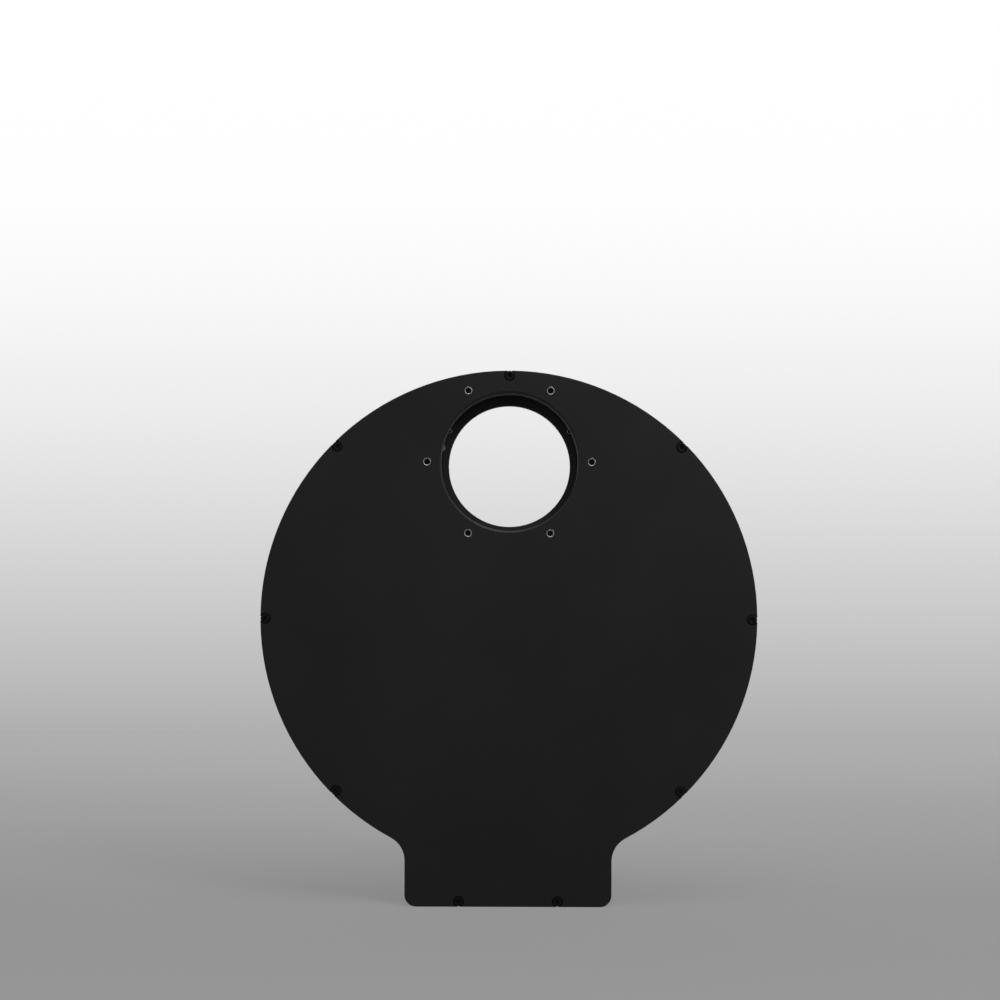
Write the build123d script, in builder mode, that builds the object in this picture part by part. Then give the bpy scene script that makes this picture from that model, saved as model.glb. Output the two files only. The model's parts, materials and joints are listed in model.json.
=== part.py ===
"""Seven-seat optical filter wheel with a stepper drive, as separate named pieces.

Frame: the origin lies on the optical axis at the front face. X runs to the right seen from the front,
Y runs along the light path into the body, Z runs up. All sizes are in millimetres.
"""

from build123d import *
import math
import os

os.makedirs("parts", exist_ok=True)

# Housing
wheel_radius = 96.0
body_depth = 20.0
cover_thickness = 3.0
floor_thickness = 3.0
wall_thickness = 3.8
tongue_half_width = 40.0
foot_wall_thickness = 3.3
pinion_foot_gap = 0.55
tongue_corner_radius = 4.5
tongue_inner_corner_radius = 3.0
neck_radius = 10.0
front_edge_chamfer = 0.3
rear_edge_chamfer = 0.5
seam_chamfer = 0.15

# Ports
port_radius = 26.6
port_chamfer = 0.75
port_boss_height = 2.0
port_boss_wall_gap = 0.2
port_tap_land = 5.2
port_tap_margin = 3.2
port_tap_count = 6
port_tap_radius = 1.05
port_tap_chamfer = 0.4
front_tap_depth = 4.2
rear_tap_depth = 2.5

# Screws
cover_screw_edge = 1.95
cover_screw_count_round = 7
cover_screw_step = 45.0
foot_screw_offset = 19.1
foot_screw_edge = 2.1
cover_screw_head_radius = 1.9
cover_screw_head_height = 1.3
cover_screw_head_gap = 0.25
cover_screw_sink = 0.2
cover_screw_hole_radius = 1.1
cover_screw_bite = 5.2
cover_tap_depth = 6.0
small_screw_core_radius = 0.75
small_tap_gap = 0.05
small_head_radius = 1.9
small_head_height = 1.2

# Bearings and axle
bearing_bore_radius = 4.0
bearing_outer_radius = 8.0
inner_race_wall = 1.1
outer_race_wall = 1.2
shield_thickness = 0.4
shield_recess = 0.2
running_clearance = 0.05
race_gap = 0.6
fit_gap = 0.01
axle_boss_height = 0.9
race_face_setback = 0.1
axle_head_height = 1.0
axle_cover_gap = 1.5
axle_hexagon_radius = 2.3
axle_hexagon_depth = 2.5
axle_tap_radius = 1.62
axle_tap_wall = 2.1
axle_screw_core_radius = 1.55
axle_screw_hole_radius = 2.15
axle_screw_head_radius = 3.9
axle_screw_head_gap = 0.1
axle_screw_end_gap = 0.4
axle_screw_hexagon_radius = 1.44
axle_screw_hexagon_depth = 1.6

# Carousel
seat_count = 7
seat_bore_radius = 24.0
seat_ledge = 1.5
seat_recess_depth = 2.2
seat_land = 2.55
plate_thickness = 4.0
plate_floor_gap = 1.2
hub_wall = 4.0
hub_blend_radius = 2.0
hub_shoulder = 1.0
clip_tap_gap = 1.7
clip_tap_angles = (30.0, 150.0, 270.0)
clip_tap_radius = 0.8
magnet_offset = 12.2
magnet_lead_angle = 21.5
magnet_radius = 1.5
magnet_hole_gap = 0.02
magnet_front_sink = 0.1
magnet_rear_sink = 0.3

# Gear pair
gear_module = 1.0
rim_tip_gap = 1.2
pinion_teeth = 18
pressure_angle = math.radians(20.0)
tooth_play = 0.06
root_depth_factor = 1.25

# Motor
motor_side_gap = 2.2
motor_radius = 8.5
motor_wall = 0.5
motor_cover_gap = 0.4
motor_edge_chamfer = 0.4
flange_thickness = 0.8
flange_rim_gap = 1.4
ear_offset = 4.5
ear_radius = 3.0
ear_hole_radius = 1.1
pinion_overlap = 0.4
shaft_radius = 1.0
shaft_clearance = 0.025
shaft_end_gap = 0.1
bush_radius = 2.2
bush_pinion_gap = 0.4
bush_inset = 0.4
rear_bush_length = 1.0
stator_gap = 0.1
rotor_air_gap = 0.4
rotor_radius = 5.0
rotor_end_gap = 0.3
post_radius = 2.4
post_tap_depth = 6.0
motor_screw_bite = 4.6
terminal_rise = 2.0
terminal_width = 5.0
terminal_height = 3.0
terminal_offset = 2.8

# Control board
board_floor_gap = 0.8
board_thickness = 1.6
board_edge_gap = 0.6
board_side_gap = 1.2
board_post_gap = 1.2
board_rim_gap = 1.6
board_tab_width = 15.5
board_tab_rise = 2.2
board_hole_radius = 1.1
board_pad_radius = 2.6
board_screw_inset = 2.7
board_screw_rise = 10.0
board_screw_bite = 1.9
board_tap_depth = 2.4
socket_inset = 19.0
socket_width = 8.94
socket_height = 3.26
socket_length = 7.4
socket_wall = 0.3
socket_sink = 0.2
socket_back = 0.8
socket_slot_gap = 0.33
contact_width = 6.7
contact_thickness = 0.7
contact_length = 5.0
motor_plug_length = 5.0
motor_plug_width = 7.4
motor_plug_height = 3.6
motor_plug_wall = 0.6
motor_plug_inset = 0.3
sensor_plug_length = 3.4
sensor_plug_width = 6.0
sensor_plug_height = 2.0
plug_head_gap = 0.3
lead_radius = 0.9
lead_bend_radius = 2.0
lead_board_overhang = 2.6

# Chips and small parts: across from the board's edge, up from its foot, width, height, rise.
left_chips = (
    (10.0, 8.3, 7.0, 7.0, 1.0),
    (7.5, 14.2, 3.0, 1.6, 1.1),
    (15.4, 10.4, 3.0, 3.0, 0.9),
)
right_chips = ((8.4, 6.2, 5.0, 4.4, 0.9),)
left_small_parts = (
    (3.6, 8.4, 1.6, 0.8, 0.8),
    (3.6, 6.8, 1.6, 0.8, 0.8),
    (13.0, 12.8, 1.6, 0.8, 0.8),
    (15.2, 12.9, 2.0, 1.2, 1.2),
    (10.6, 2.4, 2.0, 1.2, 1.2),
    (7.0, 2.4, 1.6, 0.8, 0.8),
)
right_small_parts = (
    (12.6, 7.6, 1.6, 0.8, 0.8),
    (9.6, 9.0, 1.6, 0.8, 0.8),
)

# Sensor
sensor_width = 2.9
sensor_depth = 1.6
sensor_height = 1.0
sensor_board_width = 9.0
sensor_board_height = 9.0
sensor_board_thickness = 0.8
sensor_board_shift = 2.9
sensor_board_lift = 1.8
sensor_pocket_gap = 0.3
sensor_pocket_depth = 1.6
ribbon_shift = 5.6
ribbon_width = 3.6
ribbon_thickness = 0.3
ribbon_overlap = 3.0
ribbon_bend_radius = 0.8
ribbon_grip = 1.2
channel_side_gap = 0.5
channel_depth_gap = 0.4

# Sizes that follow from those above
inner_radius = wheel_radius - wall_thickness
floor_start = body_depth - floor_thickness
port_tap_circle_radius = port_radius + port_tap_land
port_boss_radius = port_tap_circle_radius + port_tap_margin
cover_screw_radius_at = wheel_radius - cover_screw_edge
cover_counterbore_radius = cover_screw_head_radius + cover_screw_head_gap
cover_counterbore_depth = cover_screw_head_height + cover_screw_sink
small_tap_radius = small_screw_core_radius + small_tap_gap
inner_race_outer_radius = bearing_bore_radius + inner_race_wall
outer_race_inner_radius = bearing_outer_radius - outer_race_wall
race_face_radius = inner_race_outer_radius - race_face_setback
bearing_end = floor_start - axle_boss_height
axle_front = cover_thickness + axle_cover_gap
front_bearing_start = axle_front + axle_head_height
bearing_width = (bearing_end - front_bearing_start - race_gap) / 2
rear_bearing_start = bearing_end - bearing_width
axle_tap_depth = bearing_end - axle_front - axle_hexagon_depth - axle_tap_wall
axle_countersink_radius = axle_screw_head_radius + axle_screw_head_gap
rim_teeth = int(2 * (inner_radius - rim_tip_gap) / gear_module + 0.001) - 2
rim_pitch_radius = gear_module * rim_teeth / 2
rim_tip_radius = rim_pitch_radius + gear_module
rim_root_radius = rim_pitch_radius - root_depth_factor * gear_module
seat_recess_radius = seat_bore_radius + seat_ledge
seat_circle_radius = rim_root_radius - seat_land - seat_recess_radius
seat_step = 360.0 / seat_count
wheel_axis_z = -seat_circle_radius
hub_radius = bearing_outer_radius + hub_wall
shoulder_radius = bearing_outer_radius - hub_shoulder
clip_tap_circle_radius = seat_recess_radius + clip_tap_gap
magnet_circle_radius = seat_circle_radius + magnet_offset
plate_end = floor_start - plate_floor_gap
plate_start = plate_end - plate_thickness
pinion_start = plate_start - pinion_overlap
pinion_end = plate_end + pinion_overlap
ear_distance = motor_radius + ear_offset
motor_x = tongue_half_width - wall_thickness - motor_side_gap - ear_radius - ear_distance
pitch_distance = gear_module * (rim_teeth + pinion_teeth) / 2
motor_drop = math.sqrt(pitch_distance**2 - motor_x**2)
motor_z = wheel_axis_z - motor_drop
pinion_tip_radius = gear_module * (pinion_teeth + 2) / 2
inner_reach = motor_drop + pinion_tip_radius + pinion_foot_gap
tongue_reach = inner_reach + foot_wall_thickness
foot_screw_reach = tongue_reach - foot_screw_edge
motor_angle = math.atan2(-motor_drop, motor_x)
motor_turn = math.degrees(motor_angle) + 90
motor_front = cover_thickness + motor_cover_gap
flange_rear = plate_start - flange_rim_gap
flange_front = flange_rear - flange_thickness
motor_ear_spots = ((-ear_distance, 0), (ear_distance, 0))
front_bush_start = flange_front - bush_inset
front_bush_end = pinion_start - bush_pinion_gap
stator_start = motor_front + motor_wall + rear_bush_length
stator_end = flange_front - bush_inset
rotor_start = stator_start + rotor_end_gap
rotor_end = stator_end - rotor_end_gap
terminal_x = motor_x - motor_radius - terminal_rise
terminal_z = motor_z + terminal_offset
terminal_start = (motor_front + flange_front - terminal_height) / 2
board_rear = floor_start - board_floor_gap
board_front = board_rear - board_thickness
board_left_x = -(tongue_half_width - wall_thickness - board_side_gap)
board_right_x = motor_x - ear_distance - post_radius - board_post_gap
board_foot_reach = inner_reach - board_edge_gap
board_foot_z = wheel_axis_z - board_foot_reach
board_head_reach = rim_tip_radius + board_rim_gap
board_head_z = wheel_axis_z - board_head_reach
board_tab_right_x = board_left_x + board_tab_width
board_tab_z = board_head_z + board_tab_rise
board_screw_low_z = board_foot_z + board_screw_inset
board_screw_points = (
    (board_left_x + board_screw_inset, board_screw_low_z),
    (board_left_x + board_screw_inset, board_screw_low_z + board_screw_rise),
    (board_right_x - board_screw_inset, board_screw_low_z),
)
socket_x = board_left_x + socket_inset
socket_depth = board_front - socket_height / 2
sensor_angle = math.radians(magnet_lead_angle + 3 * seat_step)
sensor_x = -magnet_circle_radius * math.sin(sensor_angle)
sensor_z = wheel_axis_z + magnet_circle_radius * math.cos(sensor_angle)
sensor_board_x = sensor_x - sensor_board_shift
sensor_board_z = sensor_z - sensor_board_lift
sensor_board_front = floor_start + sensor_pocket_depth - sensor_board_thickness
ribbon_x = sensor_x - ribbon_shift
ribbon_depth = sensor_board_front - ribbon_thickness / 2
channel_depth = ribbon_depth + ribbon_thickness / 2 + channel_depth_gap - floor_start
sensor_plug_z = board_head_z - plug_head_gap - sensor_plug_length / 2
motor_plug_x = board_right_x - motor_plug_inset - motor_plug_length / 2
motor_plug_z = board_head_z - plug_head_gap - motor_plug_width / 2


def facing(depth, x=0.0, z=0.0):
    """Plane at a depth behind the front face, drawn as seen from the front."""
    return Plane(origin=(x, depth, z), x_dir=(1, 0, 0), z_dir=(0, -1, 0))


def facing_rear(depth, x=0.0, z=0.0):
    """Plane at a depth behind the front face, drawn as seen from the rear."""
    return Plane(origin=(x, depth, z), x_dir=(-1, 0, 0), z_dir=(0, 1, 0))


def save(builder, label):
    """Label a finished piece and write it under its own name."""
    builder.part.label = label
    export_step(builder.part, f"parts/{label}.step")


def body_outline(inset, reach, corner_radius):
    """The disc, smaller by an inset, with a tongue that reaches down from the wheel axis."""
    with BuildSketch() as outline:
        Circle(wheel_radius - inset)
        with Locations((0, -reach / 2)):
            Rectangle(2 * (tongue_half_width - inset), reach)
        fillet(outline.vertices().sort_by(Axis.Y)[2:4], neck_radius + inset)
        fillet(outline.vertices().sort_by(Axis.Y)[0:2], corner_radius)
    return outline.sketch


def round_screw_points():
    """Cover screws round the rim, about the wheel axis, with none at the tongue."""
    points = []
    for number in range(cover_screw_count_round):
        angle = math.radians(cover_screw_step * (number - 1))
        points.append(polar_point(cover_screw_radius_at, angle))
    return points


def foot_screw_points():
    """The two cover screws along the tongue's bottom edge, about the wheel axis."""
    return [(-foot_screw_offset, -foot_screw_reach), (foot_screw_offset, -foot_screw_reach)]


def polar_point(radius, angle):
    """A point at a radius and an angle in radians."""
    return (radius * math.cos(angle), radius * math.sin(angle))


def half_tooth_angle(radius, pitch_radius, teeth):
    """Half of the angle one involute tooth covers at a radius."""
    base_radius = pitch_radius * math.cos(pressure_angle)
    pitch_part = math.tan(pressure_angle) - pressure_angle
    roll = math.acos(min(1.0, base_radius / radius))
    roll_part = math.tan(roll) - roll
    return math.pi / (2 * teeth) - tooth_play / (2 * pitch_radius) + pitch_part - roll_part


def gear_outline(teeth, first_tooth_angle):
    """Outline of an external gear with involute flanks, its first tooth centred on an angle."""
    pitch_radius = gear_module * teeth / 2
    base_radius = pitch_radius * math.cos(pressure_angle)
    tip_radius = pitch_radius + gear_module
    root_radius = pitch_radius - root_depth_factor * gear_module
    foot_radius = max(base_radius, root_radius)
    middle_radius = (foot_radius + tip_radius) / 2
    foot_half = half_tooth_angle(foot_radius, pitch_radius, teeth)
    middle_half = half_tooth_angle(middle_radius, pitch_radius, teeth)
    tip_half = half_tooth_angle(tip_radius, pitch_radius, teeth)
    tooth_step = 2 * math.pi / teeth
    edges = []
    with BuildSketch() as outline:
        with BuildLine():
            for tooth in range(teeth):
                centre = first_tooth_angle + tooth * tooth_step
                gap_end = centre + tooth_step - foot_half
                rise_foot = polar_point(foot_radius, centre - foot_half)
                rise_middle = polar_point(middle_radius, centre - middle_half)
                rise_tip = polar_point(tip_radius, centre - tip_half)
                tip_middle = polar_point(tip_radius, centre)
                fall_tip = polar_point(tip_radius, centre + tip_half)
                fall_middle = polar_point(middle_radius, centre + middle_half)
                fall_foot = polar_point(foot_radius, centre + foot_half)
                fall_root = polar_point(root_radius, centre + foot_half)
                gap_middle = polar_point(root_radius, centre + tooth_step / 2)
                next_root = polar_point(root_radius, gap_end)
                edges.append(ThreePointArc(rise_foot, rise_middle, rise_tip, mode=Mode.PRIVATE))
                edges.append(ThreePointArc(rise_tip, tip_middle, fall_tip, mode=Mode.PRIVATE))
                edges.append(ThreePointArc(fall_tip, fall_middle, fall_foot, mode=Mode.PRIVATE))
                edges.append(ThreePointArc(fall_root, gap_middle, next_root, mode=Mode.PRIVATE))
                if root_radius < base_radius:
                    next_foot = polar_point(foot_radius, gap_end)
                    edges.append(Line(fall_foot, fall_root, mode=Mode.PRIVATE))
                    edges.append(Line(next_root, next_foot, mode=Mode.PRIVATE))
            add(edges)
        make_face()
    return outline.sketch


# Front cover: plate with its threaded port, the tapped holes round it and the screw seats.
with BuildPart() as front_cover:
    with BuildSketch(facing(0, 0, wheel_axis_z)):
        add(body_outline(0, tongue_reach, tongue_corner_radius))
    extrude(amount=-cover_thickness)
    chamfer(front_cover.faces().sort_by(Axis.Y)[0].edges(), front_edge_chamfer)
    chamfer(front_cover.faces().sort_by(Axis.Y)[-1].edges(), seam_chamfer)
    with BuildSketch(facing(cover_thickness)):
        Circle(port_boss_radius)
        with Locations((0, wheel_axis_z)):
            Circle(inner_radius - port_boss_wall_gap, mode=Mode.INTERSECT)
    extrude(amount=-port_boss_height)
    with Locations(facing(0)):
        CounterSinkHole(port_radius, port_radius + port_chamfer, counter_sink_angle=90)
        with PolarLocations(port_tap_circle_radius, port_tap_count):
            CounterSinkHole(
                port_tap_radius,
                port_tap_radius + port_tap_chamfer,
                depth=front_tap_depth,
                counter_sink_angle=90,
            )
    with Locations(facing(0, 0, wheel_axis_z)):
        with Locations(*round_screw_points(), *foot_screw_points()):
            CounterBoreHole(cover_screw_hole_radius, cover_counterbore_radius, cover_counterbore_depth)
save(front_cover, "front_cover")

# Cover screws: plain heads sunk in the cover, cores reaching into the housing wall.
with BuildPart() as cover_screws:
    with BuildSketch(facing(cover_screw_sink, 0, wheel_axis_z)):
        with Locations(*round_screw_points(), *foot_screw_points()):
            Circle(cover_screw_head_radius)
    extrude(amount=-cover_screw_head_height)
    with BuildSketch(facing(cover_counterbore_depth, 0, wheel_axis_z)):
        with Locations(*round_screw_points(), *foot_screw_points()):
            Circle(small_screw_core_radius)
    extrude(amount=-(cover_thickness - cover_counterbore_depth + cover_screw_bite))
save(cover_screws, "cover_screws")

# Rear housing: floor and wall in one piece, with the rear port, the axle boss and the motor posts.
with BuildPart() as rear_housing:
    with BuildSketch(facing(cover_thickness, 0, wheel_axis_z)):
        add(body_outline(0, tongue_reach, tongue_corner_radius))
    extrude(amount=-(body_depth - cover_thickness))
    chamfer(rear_housing.faces().sort_by(Axis.Y)[-1].edges(), rear_edge_chamfer)
    chamfer(rear_housing.faces().sort_by(Axis.Y)[0].edges(), seam_chamfer)
    with BuildSketch(facing(cover_thickness, 0, wheel_axis_z)):
        add(body_outline(wall_thickness, inner_reach, tongue_inner_corner_radius))
    extrude(amount=-(floor_start - cover_thickness), mode=Mode.SUBTRACT)
    with BuildSketch(facing(bearing_end, 0, wheel_axis_z)):
        Circle(race_face_radius)
    extrude(amount=-axle_boss_height)
    with BuildSketch(facing(flange_rear, motor_x, motor_z)):
        with Locations(Rotation(0, 0, motor_turn)):
            with Locations(*motor_ear_spots):
                Circle(post_radius)
    extrude(amount=-(floor_start - flange_rear))
    with BuildSketch(facing(board_rear)):
        with Locations(*board_screw_points):
            Circle(board_pad_radius)
    extrude(amount=-board_floor_gap)
    with BuildSketch(facing(floor_start, sensor_board_x, sensor_board_z)):
        Rectangle(sensor_board_width + 2 * sensor_pocket_gap, sensor_board_height + 2 * sensor_pocket_gap)
    extrude(amount=-sensor_pocket_depth, mode=Mode.SUBTRACT)
    channel_top = sensor_board_z - sensor_board_height / 2 + ribbon_overlap
    channel_bottom = board_head_z - sensor_plug_length
    with BuildSketch(facing(floor_start, ribbon_x, (channel_top + channel_bottom) / 2)):
        Rectangle(ribbon_width + 2 * channel_side_gap, channel_top - channel_bottom)
    extrude(amount=-channel_depth, mode=Mode.SUBTRACT)
    with Locations(facing_rear(body_depth)):
        CounterSinkHole(port_radius, port_radius + port_chamfer, counter_sink_angle=90)
        with PolarLocations(port_tap_circle_radius, port_tap_count):
            CounterSinkHole(
                port_tap_radius,
                port_tap_radius + port_tap_chamfer,
                depth=rear_tap_depth,
                counter_sink_angle=90,
            )
    with Locations(facing_rear(body_depth, 0, wheel_axis_z)):
        CounterSinkHole(axle_screw_hole_radius, axle_countersink_radius, counter_sink_angle=90)
    with Locations(facing(cover_thickness, 0, wheel_axis_z)):
        with Locations(*round_screw_points(), *foot_screw_points()):
            Hole(small_tap_radius, depth=cover_tap_depth)
    with Locations(facing(flange_rear, motor_x, motor_z)):
        with Locations(Rotation(0, 0, motor_turn)):
            with Locations(*motor_ear_spots):
                Hole(small_tap_radius, depth=post_tap_depth)
    with Locations(facing(board_rear)):
        with Locations(*board_screw_points):
            Hole(small_tap_radius, depth=board_tap_depth)
    with BuildSketch(Plane((socket_x, socket_depth, wheel_axis_z - tongue_reach), (1, 0, 0), (0, 0, -1))):
        SlotOverall(socket_width + 2 * socket_slot_gap, socket_height + 2 * socket_slot_gap)
    extrude(amount=-(foot_wall_thickness + board_edge_gap), mode=Mode.SUBTRACT)
save(rear_housing, "rear_housing")

# Axle: a stud with a flanged head holding the inner races against the floor boss.
with BuildPart() as axle:
    with BuildSketch(facing(axle_front, 0, wheel_axis_z)):
        Circle(race_face_radius)
    extrude(amount=-axle_head_height)
    with BuildSketch(facing(front_bearing_start, 0, wheel_axis_z)):
        Circle(bearing_bore_radius - fit_gap)
    extrude(amount=-(bearing_end - front_bearing_start))
    with BuildSketch(facing(axle_front, 0, wheel_axis_z)):
        RegularPolygon(axle_hexagon_radius, 6)
    extrude(amount=-axle_hexagon_depth, mode=Mode.SUBTRACT)
    with Locations(facing_rear(bearing_end, 0, wheel_axis_z)):
        Hole(axle_tap_radius, depth=axle_tap_depth)
save(axle, "axle")

# Axle screw: countersunk, its head flush with the rear face.
axle_screw_tip = bearing_end - axle_tap_depth + axle_screw_end_gap
axle_cone_end = body_depth - axle_screw_head_radius + axle_screw_core_radius
with BuildPart() as axle_screw:
    with BuildSketch(Plane((0, 0, wheel_axis_z), (1, 0, 0), (0, 0, 1))):
        with BuildLine():
            Polyline(
                (0, body_depth),
                (axle_screw_head_radius, body_depth),
                (axle_screw_core_radius, axle_cone_end),
                (axle_screw_core_radius, axle_screw_tip),
                (0, axle_screw_tip),
                close=True,
            )
        make_face()
    revolve(axis=Axis((0, 0, wheel_axis_z), (0, 1, 0)))
    with BuildSketch(facing_rear(body_depth, 0, wheel_axis_z)):
        RegularPolygon(axle_screw_hexagon_radius, 6)
    extrude(amount=-axle_screw_hexagon_depth, mode=Mode.SUBTRACT)
save(axle_screw, "axle_screw")

# Bearings: the races that stand still with the axle, and the shielded races that turn.
with BuildPart() as bearing_inner_races:
    for start in (front_bearing_start, rear_bearing_start):
        with BuildSketch(facing(start, 0, wheel_axis_z)):
            Circle(inner_race_outer_radius)
            Circle(bearing_bore_radius, mode=Mode.SUBTRACT)
        extrude(amount=-bearing_width)
save(bearing_inner_races, "bearing_inner_races")

with BuildPart() as bearing_outer_races:
    for start in (front_bearing_start, rear_bearing_start):
        with BuildSketch(facing(start, 0, wheel_axis_z)):
            Circle(bearing_outer_radius)
            Circle(outer_race_inner_radius, mode=Mode.SUBTRACT)
        extrude(amount=-bearing_width)
        shield_starts = (start + shield_recess, start + bearing_width - shield_recess - shield_thickness)
        for shield_start in shield_starts:
            with BuildSketch(facing(shield_start, 0, wheel_axis_z)):
                Circle(outer_race_inner_radius)
                Circle(inner_race_outer_radius + running_clearance, mode=Mode.SUBTRACT)
            extrude(amount=-shield_thickness)
save(bearing_outer_races, "bearing_outer_races")

with BuildPart() as race_spacer:
    with BuildSketch(facing(front_bearing_start + bearing_width, 0, wheel_axis_z)):
        Circle(race_face_radius)
        Circle(bearing_bore_radius, mode=Mode.SUBTRACT)
    extrude(amount=-race_gap)
save(race_spacer, "race_spacer")

# Carousel: toothed plate with seven seats round a hub. A tooth gap faces the pinion.
clip_tap_points = []
for clip_angle in clip_tap_angles:
    clip_tap_points.append(polar_point(clip_tap_circle_radius, math.radians(clip_angle - 90)))
with BuildPart() as carousel:
    with BuildSketch(facing(plate_start, 0, wheel_axis_z)):
        add(gear_outline(rim_teeth, motor_angle + math.pi / rim_teeth))
    extrude(amount=-plate_thickness)
    with BuildSketch(facing(front_bearing_start, 0, wheel_axis_z)):
        Circle(hub_radius)
    extrude(amount=-(bearing_end - front_bearing_start))
    hub_circles = carousel.edges().filter_by(lambda edge: abs(edge.length - 2 * math.pi * hub_radius) < 0.01)
    fillet(hub_circles.sort_by(lambda edge: abs(edge.center().Y - plate_start))[0], hub_blend_radius)
    with Locations(facing(plate_start, 0, wheel_axis_z)):
        with PolarLocations(seat_circle_radius, seat_count, start_angle=90):
            CounterBoreHole(seat_bore_radius, seat_recess_radius, seat_recess_depth)
        with PolarLocations(seat_circle_radius, seat_count, start_angle=90):
            with Locations(*clip_tap_points):
                Hole(clip_tap_radius)
        with PolarLocations(magnet_circle_radius, seat_count, start_angle=90 + magnet_lead_angle):
            Hole(magnet_radius + magnet_hole_gap)
        with PolarLocations(magnet_circle_radius, 1, start_angle=90 + seat_step - magnet_lead_angle):
            Hole(magnet_radius + magnet_hole_gap)
    with Locations(facing(front_bearing_start, 0, wheel_axis_z)):
        Hole(shoulder_radius)
        Hole(bearing_outer_radius + fit_gap, depth=bearing_width)
    with Locations(facing_rear(bearing_end, 0, wheel_axis_z)):
        Hole(bearing_outer_radius + fit_gap, depth=bearing_width)
save(carousel, "carousel")

# Index magnets: one for each seat and one more that marks the first seat.
with BuildPart() as index_magnets:
    with BuildSketch(facing(plate_start + magnet_front_sink, 0, wheel_axis_z)):
        with PolarLocations(magnet_circle_radius, seat_count, start_angle=90 + magnet_lead_angle):
            Circle(magnet_radius)
        with PolarLocations(magnet_circle_radius, 1, start_angle=90 + seat_step - magnet_lead_angle):
            Circle(magnet_radius)
    extrude(amount=-(plate_thickness - magnet_front_sink - magnet_rear_sink))
save(index_magnets, "index_magnets")

# Motor: a drawn can closed by a flange with two ears, with its stator and bushes.
with BuildPart() as motor_can:
    with BuildSketch(facing(motor_front, motor_x, motor_z)):
        Circle(motor_radius)
    extrude(amount=-(flange_front - motor_front))
    chamfer(motor_can.faces().sort_by(Axis.Y)[0].edges(), motor_edge_chamfer)
    with BuildSketch(facing(motor_front + motor_wall, motor_x, motor_z)):
        Circle(motor_radius - motor_wall)
    extrude(amount=-(flange_front - motor_front - motor_wall), mode=Mode.SUBTRACT)
save(motor_can, "motor_can")

with BuildPart() as motor_flange:
    with BuildSketch(facing(flange_front, motor_x, motor_z)):
        Circle(motor_radius)
        with Locations(Rotation(0, 0, motor_turn)):
            SlotCenterToCenter(2 * ear_distance, 2 * ear_radius)
            with Locations(*motor_ear_spots):
                Circle(ear_hole_radius, mode=Mode.SUBTRACT)
        Circle(bush_radius + fit_gap, mode=Mode.SUBTRACT)
    extrude(amount=-flange_thickness)
save(motor_flange, "motor_flange")

with BuildPart() as motor_stator:
    with BuildSketch(facing(stator_start, motor_x, motor_z)):
        Circle(motor_radius - motor_wall - stator_gap)
        Circle(rotor_radius + rotor_air_gap, mode=Mode.SUBTRACT)
    extrude(amount=-(stator_end - stator_start))
save(motor_stator, "motor_stator")

with BuildPart() as motor_bushes:
    with BuildSketch(facing(motor_front + motor_wall, motor_x, motor_z)):
        Circle(bush_radius)
        Circle(shaft_radius + shaft_clearance, mode=Mode.SUBTRACT)
    extrude(amount=-rear_bush_length)
    with BuildSketch(facing(front_bush_start, motor_x, motor_z)):
        Circle(bush_radius)
        Circle(shaft_radius + shaft_clearance, mode=Mode.SUBTRACT)
    extrude(amount=-(front_bush_end - front_bush_start))
save(motor_bushes, "motor_bushes")

with BuildPart() as motor_screws:
    with BuildSketch(facing(flange_front - small_head_height, motor_x, motor_z)):
        with Locations(Rotation(0, 0, motor_turn)):
            with Locations(*motor_ear_spots):
                Circle(small_head_radius)
    extrude(amount=-small_head_height)
    with BuildSketch(facing(flange_front, motor_x, motor_z)):
        with Locations(Rotation(0, 0, motor_turn)):
            with Locations(*motor_ear_spots):
                Circle(small_screw_core_radius)
    extrude(amount=-motor_screw_bite)
save(motor_screws, "motor_screws")

with BuildPart() as motor_terminal:
    with BuildSketch(facing(terminal_start)):
        with Locations((terminal_x + terminal_rise, terminal_z)):
            Rectangle(2 * terminal_rise, terminal_width)
        with Locations((motor_x, motor_z)):
            Circle(motor_radius + fit_gap, mode=Mode.SUBTRACT)
    extrude(amount=-terminal_height)
save(motor_terminal, "motor_terminal")

# Rotor: shaft, ring magnet and pinion. A pinion tooth faces the carousel.
shaft_start = motor_front + motor_wall + shaft_end_gap
with BuildPart() as motor_shaft:
    with BuildSketch(facing(shaft_start, motor_x, motor_z)):
        Circle(shaft_radius)
    extrude(amount=-(pinion_end - shaft_start))
save(motor_shaft, "motor_shaft")

with BuildPart() as rotor_magnet:
    with BuildSketch(facing(rotor_start, motor_x, motor_z)):
        Circle(rotor_radius)
        Circle(shaft_radius + fit_gap, mode=Mode.SUBTRACT)
    extrude(amount=-(rotor_end - rotor_start))
save(rotor_magnet, "rotor_magnet")

with BuildPart() as drive_pinion:
    with BuildSketch(facing(pinion_start, motor_x, motor_z)):
        add(gear_outline(pinion_teeth, motor_angle + math.pi))
        Circle(shaft_radius + fit_gap, mode=Mode.SUBTRACT)
    extrude(amount=-(pinion_end - pinion_start))
save(drive_pinion, "drive_pinion")

# Control board with its parts.
with BuildPart() as control_board:
    with BuildSketch(facing(board_front)):
        with BuildLine():
            Polyline(
                (board_left_x, board_foot_z),
                (board_right_x, board_foot_z),
                (board_right_x, board_head_z),
                (board_tab_right_x, board_head_z),
                (board_tab_right_x, board_tab_z),
                (board_left_x, board_tab_z),
                close=True,
            )
        make_face()
        with Locations(*board_screw_points):
            Circle(board_hole_radius, mode=Mode.SUBTRACT)
    extrude(amount=-board_thickness)
save(control_board, "control_board")

with BuildPart() as board_screws:
    with BuildSketch(facing(board_front - small_head_height)):
        with Locations(*board_screw_points):
            Circle(small_head_radius)
    extrude(amount=-small_head_height)
    with BuildSketch(facing(board_front)):
        with Locations(*board_screw_points):
            Circle(small_screw_core_radius)
    extrude(amount=-(board_thickness + board_screw_bite))
save(board_screws, "board_screws")

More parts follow.
